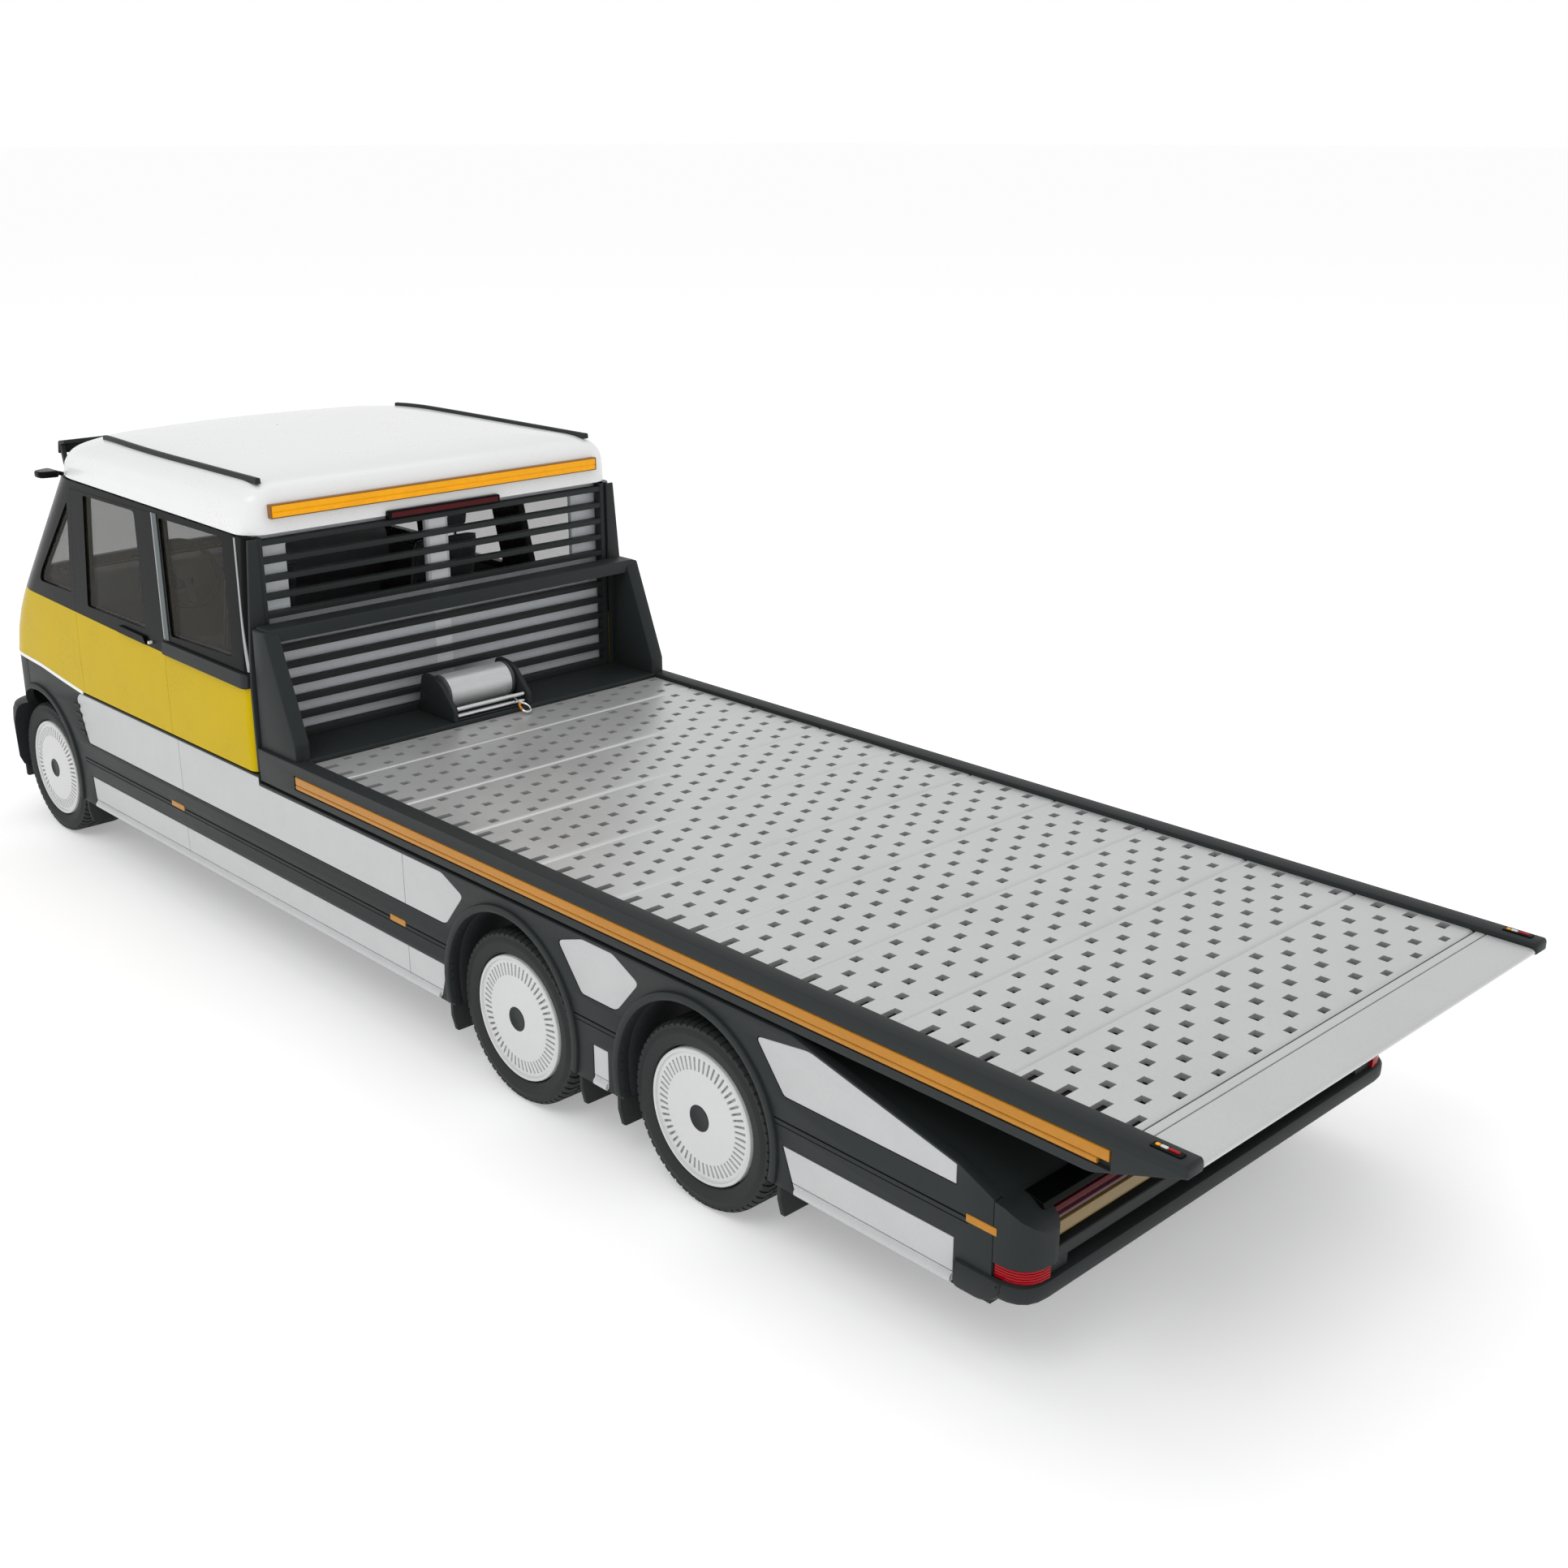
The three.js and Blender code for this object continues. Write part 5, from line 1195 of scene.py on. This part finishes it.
# ---- back of the cab ------------------------------------------------------------------------
holes = [rect((4.5, 58), (42, 65.5), 1), rect((-58, -4.5), (42, 65.5), 1)]
wall = plate("wall", [rect((-70.2, 70.2), (-7, 69)), *holes], 29.0, 31.0, "front", bevel=0.25)
piece("cab_rear_wall", wall, WALL, TRUCK, "wall_grey", "cab_back_wall")
piece("wall_centre_strip", plate("strip", [rect((-3.4, 3.4), (-6, 68.5))], 28.75, 29.3, "front", bevel=0.2),
      WALL_LIGHT, TRUCK, "wall_grey")
piece("rear_cab_window",
      plate("pane", [rect((-61.5, 61.5), (40.2, 66.8), 1)], 31.3, 32.4, "front", bevel=0.15), REAR_GLASS,
      TRUCK, "tinted_glass", "rear_window")

SLAT_TOP, SLAT_PITCH, SLATS = 67.2, 5.93, 11
for k in range(SLATS):
    z = SLAT_TOP - SLAT_PITCH * k
    slat = rect((24.9, 28.0), (z - 0.95, z + 0.95), 0.3)
    piece(f"guard_slat_{k + 1:02d}", prism(slat, -68.5, 68.5, "side"), *BODY_DARK, "rear_guard", bevel=0.12)
pair("guard_post", plate("post", [rect((68.4, 70.4), (-3.6, 69.0))], 24.65, 28.4, "front", bevel=0.3),
     *BODY_DARK)
piece("guard_sill", block((24.65, 28.4), (-68.5, 68.5), (-3.6, 3.0)), *BODY_DARK, bevel=0.3)
corner_face = [(70.6, -7.4), (77.6, -7.4, 0.8), (77.4, 21.4), (76.9, 30), (73.8, 69), (70.6, 69)]
pair("cab_corner_cap", plate("cap", [corner_face], 23.7, 25.0, "front", bevel=0.3), CHARCOAL, TRUCK,
     "cab_black")

# ---- winch ----------------------------------------------------------------------------------
WINCH_AXIS, ROLLER_X = (13, 0, 8.7), 2.7
cheek = [(0.9, 1.5), (0.9, 5.6, 1.2), (9.5, 14.6, 4), (19.6, 15.6, 3), (22.4, 1.5)]
pair("winch_cheek", plate("cheek", [cheek], 14.5, 16.3, "side", bevel=0.35), CHARCOAL, "deck", "body_black",
     "winch_housing")
piece("winch_base", block((1.4, 22), (-14.6, 14.6), (1.45, 2.0)), CHARCOAL, "deck", "body_black",
      bevel=0.25)
drum = [(1.8, -12.6), (6.1, -12.6), (6.25, -12.4), (6.25, 12.4), (6.1, 12.6), (1.8, 12.6)]
piece("winch_drum_shell", lathe(drum, WINCH_AXIS, steps=80), BRUSHED, "drum", "deck_plate", "winch_drum",
      bevel=0.08)
flange = [(1.8, 12.7), (6.25, 12.7), (6.45, 13.0), (6.3, 13.8), (5.6, 14.3), (1.8, 14.4)]
pair("drum_flange", lathe(flange, WINCH_AXIS, steps=64), STEEL, "drum", "body_black")
piece("winch_spindle", rod(1.4, -14.9, 14.9, WINCH_AXIS, 24), STEEL, "deck", "body_black")
for k, (name, z) in enumerate((("upper", 5.3), ("lower", 2.9))):
    roller = [(0.45, -14), (0.6, -14), (0.75, -13.8), (0.75, 13.8), (0.6, 14), (0.45, 14)]
    piece(f"roller_{name}_sleeve", lathe(roller, (ROLLER_X, 0, z), steps=32), CHROME, f"roller_{name}",
          "bright_metal", f"guide_roller_{k + 1}")
    piece(f"roller_{name}_pin", rod(0.35, -14.7, 14.7, (ROLLER_X, 0, z), 16), STEEL, "deck", "body_black")
ROPE_Y = -10.5
rope_path = smooth_path([(7.7, ROPE_Y, 4.3), (5.6, ROPE_Y, 4.2), (2.7, ROPE_Y, 4.1), (1.0, ROPE_Y, 3.5)], 8)
piece("rope_stub", sweep(rope_path, circle(0.25, 10), up=(0, 1, 0)), SILVER, "deck", "bright_metal",
      "winch_rope")
HOOK_X, HOOK_Z, HOOK_SLOPE = 0.4, 3.5, 0.46


def hook_point(u, v, lift=0.0):
    return (HOOK_X - u * math.cos(HOOK_SLOPE) + lift * math.sin(HOOK_SLOPE), ROPE_Y + v,
            HOOK_Z - u * math.sin(HOOK_SLOPE) + lift * math.cos(HOOK_SLOPE))


bent = [(0.1, 0.1), (0.7, -0.5), (1.5, -1.3), (2.7, -1.75), (4.3, -1.7), (5.5, -0.75), (5.5, 0.8),
        (4.4, 1.6)]
path = smooth_path([hook_point(u, v) for u, v in bent], 6)
normal = (math.sin(HOOK_SLOPE), 0, math.cos(HOOK_SLOPE))
piece("tow_hook_bar", sweep(path, circle(0.42, 12), up=normal), CHROME, "tow_hook", "bright_metal", "hook")
path = smooth_path([hook_point(u, v, 0.1) for u, v in ((4.7, 1.45), (3.0, 1.5), (1.2, 0.75), (0.5, 0.1))],
                   5)
piece("hook_latch", sweep(path, rect((-0.34, 0.34), (-0.3, 0.3)), up=normal), ORANGE, "tow_hook",
      "bright_metal", bevel=0.1)

# ---- cab interior ---------------------------------------------------------------------------
SEAT_Y = 39
piece("cabin_floor",
      plate("floor",
            [[(29.5, -69.8), (203.6, -69.8), (203.6, -50), (221.5, -49.8, 4), (221.5, 49.8, 4), (203.6, 50),
              (203.6, 69.8), (29.5, 69.8)]], -10.5, -8.3, "plan", bevel=0.2), *CABIN_DARK, "cab_floor")
pair("floor_mat", plate("mat", [rect((122, 168), (12, 64), 3)], -8.3, -7.5, "plan", bevel=0.25), RUBBER,
     TRUCK, "interior_dark")
pair("seat_riser", plate("riser", [rect((92, 118), (30, 48), 2)], -8.2, 5.0, "plan", bevel=0.4),
     *CABIN_DARK)
dash = [(174, -4, 2), (176, 12, 3), (166, 20, 2), (168, 33, 3), (186, 31, 2), (203, 26.2), (203, -4)]
piece("dashboard_moulding", plate("dash", [dash], -66, 66, "side", bevel=0.6), CABIN_GREY, TRUCK,
      "interior_dark", "dashboard")
piece("dash_display", plate("display", [rect((-11, 11), (21.5, 30), 1)], 165.2, 166.8, "front", bevel=0.3),
      BLUE_GLOW, TRUCK, "interior_dark")
piece("dash_cluster",
      plate("cluster", [[(24, 22, 2), (46, 22, 2), (46, 30, 3), (24, 30, 3)]], 165.3, 166.9, "front",
            bevel=0.3), BLUE_GLOW, TRUCK, "interior_dark")

WHEEL_CENTRE, WHEEL_LEAN = Vector((152, 34, 31)), 0.52
wheel_axis = Vector((math.cos(WHEEL_LEAN), 0, -math.sin(WHEEL_LEAN)))
wheel_up = Vector((math.sin(WHEEL_LEAN), 0, math.cos(WHEEL_LEAN)))
grip = [(13.2 + 1.1 * math.cos(a), 1.1 * math.sin(a)) for a in [2 * math.pi * k / 12 for k in range(12)]]
piece("steering_grip", lathe(grip, WHEEL_CENTRE, axis=wheel_axis, steps=64), CABIN, "steering",
      "interior_dark", "steering_wheel")
boss = [(0.01, -1.4), (2.4, -1.4), (3.0, -0.8), (3.0, 1.0), (2.2, 1.6), (0.01, 1.6)]
piece("steering_boss", lathe(boss, WHEEL_CENTRE, axis=wheel_axis, steps=32), CABIN_GREY, "steering",
      "interior_dark")
for k, angle in enumerate((90, 210, 330)):
    reach = Vector((0, 1, 0)) * math.cos(math.radians(angle)) - wheel_up * math.sin(math.radians(angle))
    path = [WHEEL_CENTRE + reach * 2.4, WHEEL_CENTRE + reach * 7.5 + wheel_axis * 0.4,
            WHEEL_CENTRE + reach * 12.6]
    piece(f"steering_spoke_{k + 1}",
          sweep(path, rounded([(-1.2, -0.45), (1.2, -0.45), (1.2, 0.45, 0.2), (-1.2, 0.45, 0.2)], 2),
                up=wheel_axis), CABIN_GREY, "steering", "interior_dark", bevel=0.1)
column = sweep([(156, 34, 28.7), (163, 34, 24.7), (170, 34, 20.7)], circle(2.2, 20), up=(0, 1, 0))
piece("steering_column", column, *CABIN_DARK)


# ---- seats ----------------------------------------------------------------------------------
def cushion_mesh(centre, along, across, out, half, channels=(), bolster=0.0, back=0.35, steps=36):
    """Crowned pad on three axes: its sides pull in between the corners, and sewn channels run along it."""
    centre, along, across, out = (Vector(v) for v in (centre, along, across, out))
    long_half, wide_half, thick = half
    verts, faces = [], []

    def ease(t):
        return math.sin(t * math.pi / 2)

    def top(u, v):
        edge = (max(0.0, 1 - u ** 6) * max(0.0, 1 - v ** 6)) ** 0.4
        crown = 1 + 0.16 * (1 - u * u) * (1 - v * v) + bolster * abs(v) ** 3
        grooves = sum(0.17 * math.exp(-((v - seam_v) / 0.035) ** 2) for seam_v in channels)
        return edge * (crown - grooves) / (1.16 + bolster * 0.3)

    index = {}
    for face_side in (1, -1):
        for i in range(steps + 1):
            for j in range(steps + 1):
                on_rim = i in (0, steps) or j in (0, steps)
                if on_rim and face_side < 0:
                    index[(face_side, i, j)] = index[(1, i, j)]
                    continue
                u, v = ease(2 * i / steps - 1), ease(2 * j / steps - 1)
                pull_u, pull_v = 1 - 0.035 * (1 - v * v), 1 - 0.035 * (1 - u * u)
                corner = 1 - 0.055 * (u * v) ** 4
                height = thick * (top(u, v) if face_side > 0
                                  else -back * (max(0.0, 1 - u ** 8) * max(0.0, 1 - v ** 8)) ** 0.4)
                point = (centre + along * long_half * u * pull_u * corner
                         + across * wide_half * v * pull_v * corner + out * height)
                index[(face_side, i, j)] = len(verts)
                verts.append(tuple(point))
    for face_side in (1, -1):
        for i in range(steps):
            for j in range(steps):
                ring = [index[(face_side, i, j)], index[(face_side, i + 1, j)],
                        index[(face_side, i + 1, j + 1)], index[(face_side, i, j + 1)]]
                faces.append(ring if face_side > 0 else ring[::-1])
    rim = []
    for k in range(4 * steps):
        side, t = divmod(k, steps)
        i, j = ((t, 0), (steps, t), (steps - t, steps), (0, steps - t))[side]
        rim.append(verts[index[(1, i, j)]])
    return cleaned(mesh_of("cushion", verts, faces)), rim


BACK_TILT = 0.23
back_up = Vector((-math.sin(BACK_TILT), 0, math.cos(BACK_TILT)))
back_out = Vector((math.cos(BACK_TILT), 0, math.sin(BACK_TILT)))
EX, EY, EZ = Vector((1, 0, 0)), Vector((0, 1, 0)), Vector((0, 0, 1))
CUSHIONS = {
    "seat_cushion": ((105, SEAT_Y, 8.4), EX, EY, EZ, (20.6, 14.8, 6.4), (-0.62, -0.2, 0.2, 0.62), 0.12,
                     0.45),
    "seat_back": ((86.2, SEAT_Y, 27.6), back_up, EY, back_out, (18.4, 13.8, 5.6), (-0.6, -0.2, 0.2, 0.6),
                  0.12, 0.5),
    "headrest": ((79.6, SEAT_Y, 54.6), back_up, EY, back_out, (5.2, 7.8, 3.0), (), 0.0, 0.6),
}
for stem, (centre, along, across, out, half, channels, bolster, back_share) in CUSHIONS.items():
    mesh, rim = cushion_mesh(centre, along, across, out, half, channels, bolster, back_share)
    replaced = "seat_{}" if stem == "seat_cushion" else None
    for cushion in pair(stem, mesh, SEAT_CLOTH, TRUCK, "seat_cloth", replaced, angle=180):
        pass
    piping = sweep(rim, circle(0.3, 8), up=tuple(out), closed=True)
    pair(f"{stem}_piping", piping, CABIN, TRUCK, "seat_cloth")
for k, y in enumerate((SEAT_Y - 4, SEAT_Y + 4)):
    post = sweep([(82.6, y, 44), (80.9, y, 51)], circle(0.5, 12), up=(0, 1, 0))
    pair(f"headrest_post_{k + 1}", post, CHROME, TRUCK, "bright_metal")

# ---- solids kept from the frame -------------------------------------------------------------
for name in ("chassis_frame", "front_axle", "rear_bogie", "knuckle_left", "knuckle_right", "tilt_frame"):
    node = frame["nodes"][name]
    node.data.materials.clear()
    node.data.materials.append(STEEL)
    edge = node.modifiers.new("edge", "BEVEL")
    edge.width = 0.35 * MM
    edge.segments = 2
    edge.limit_method = "ANGLE"
    edge.angle_limit = math.radians(40)
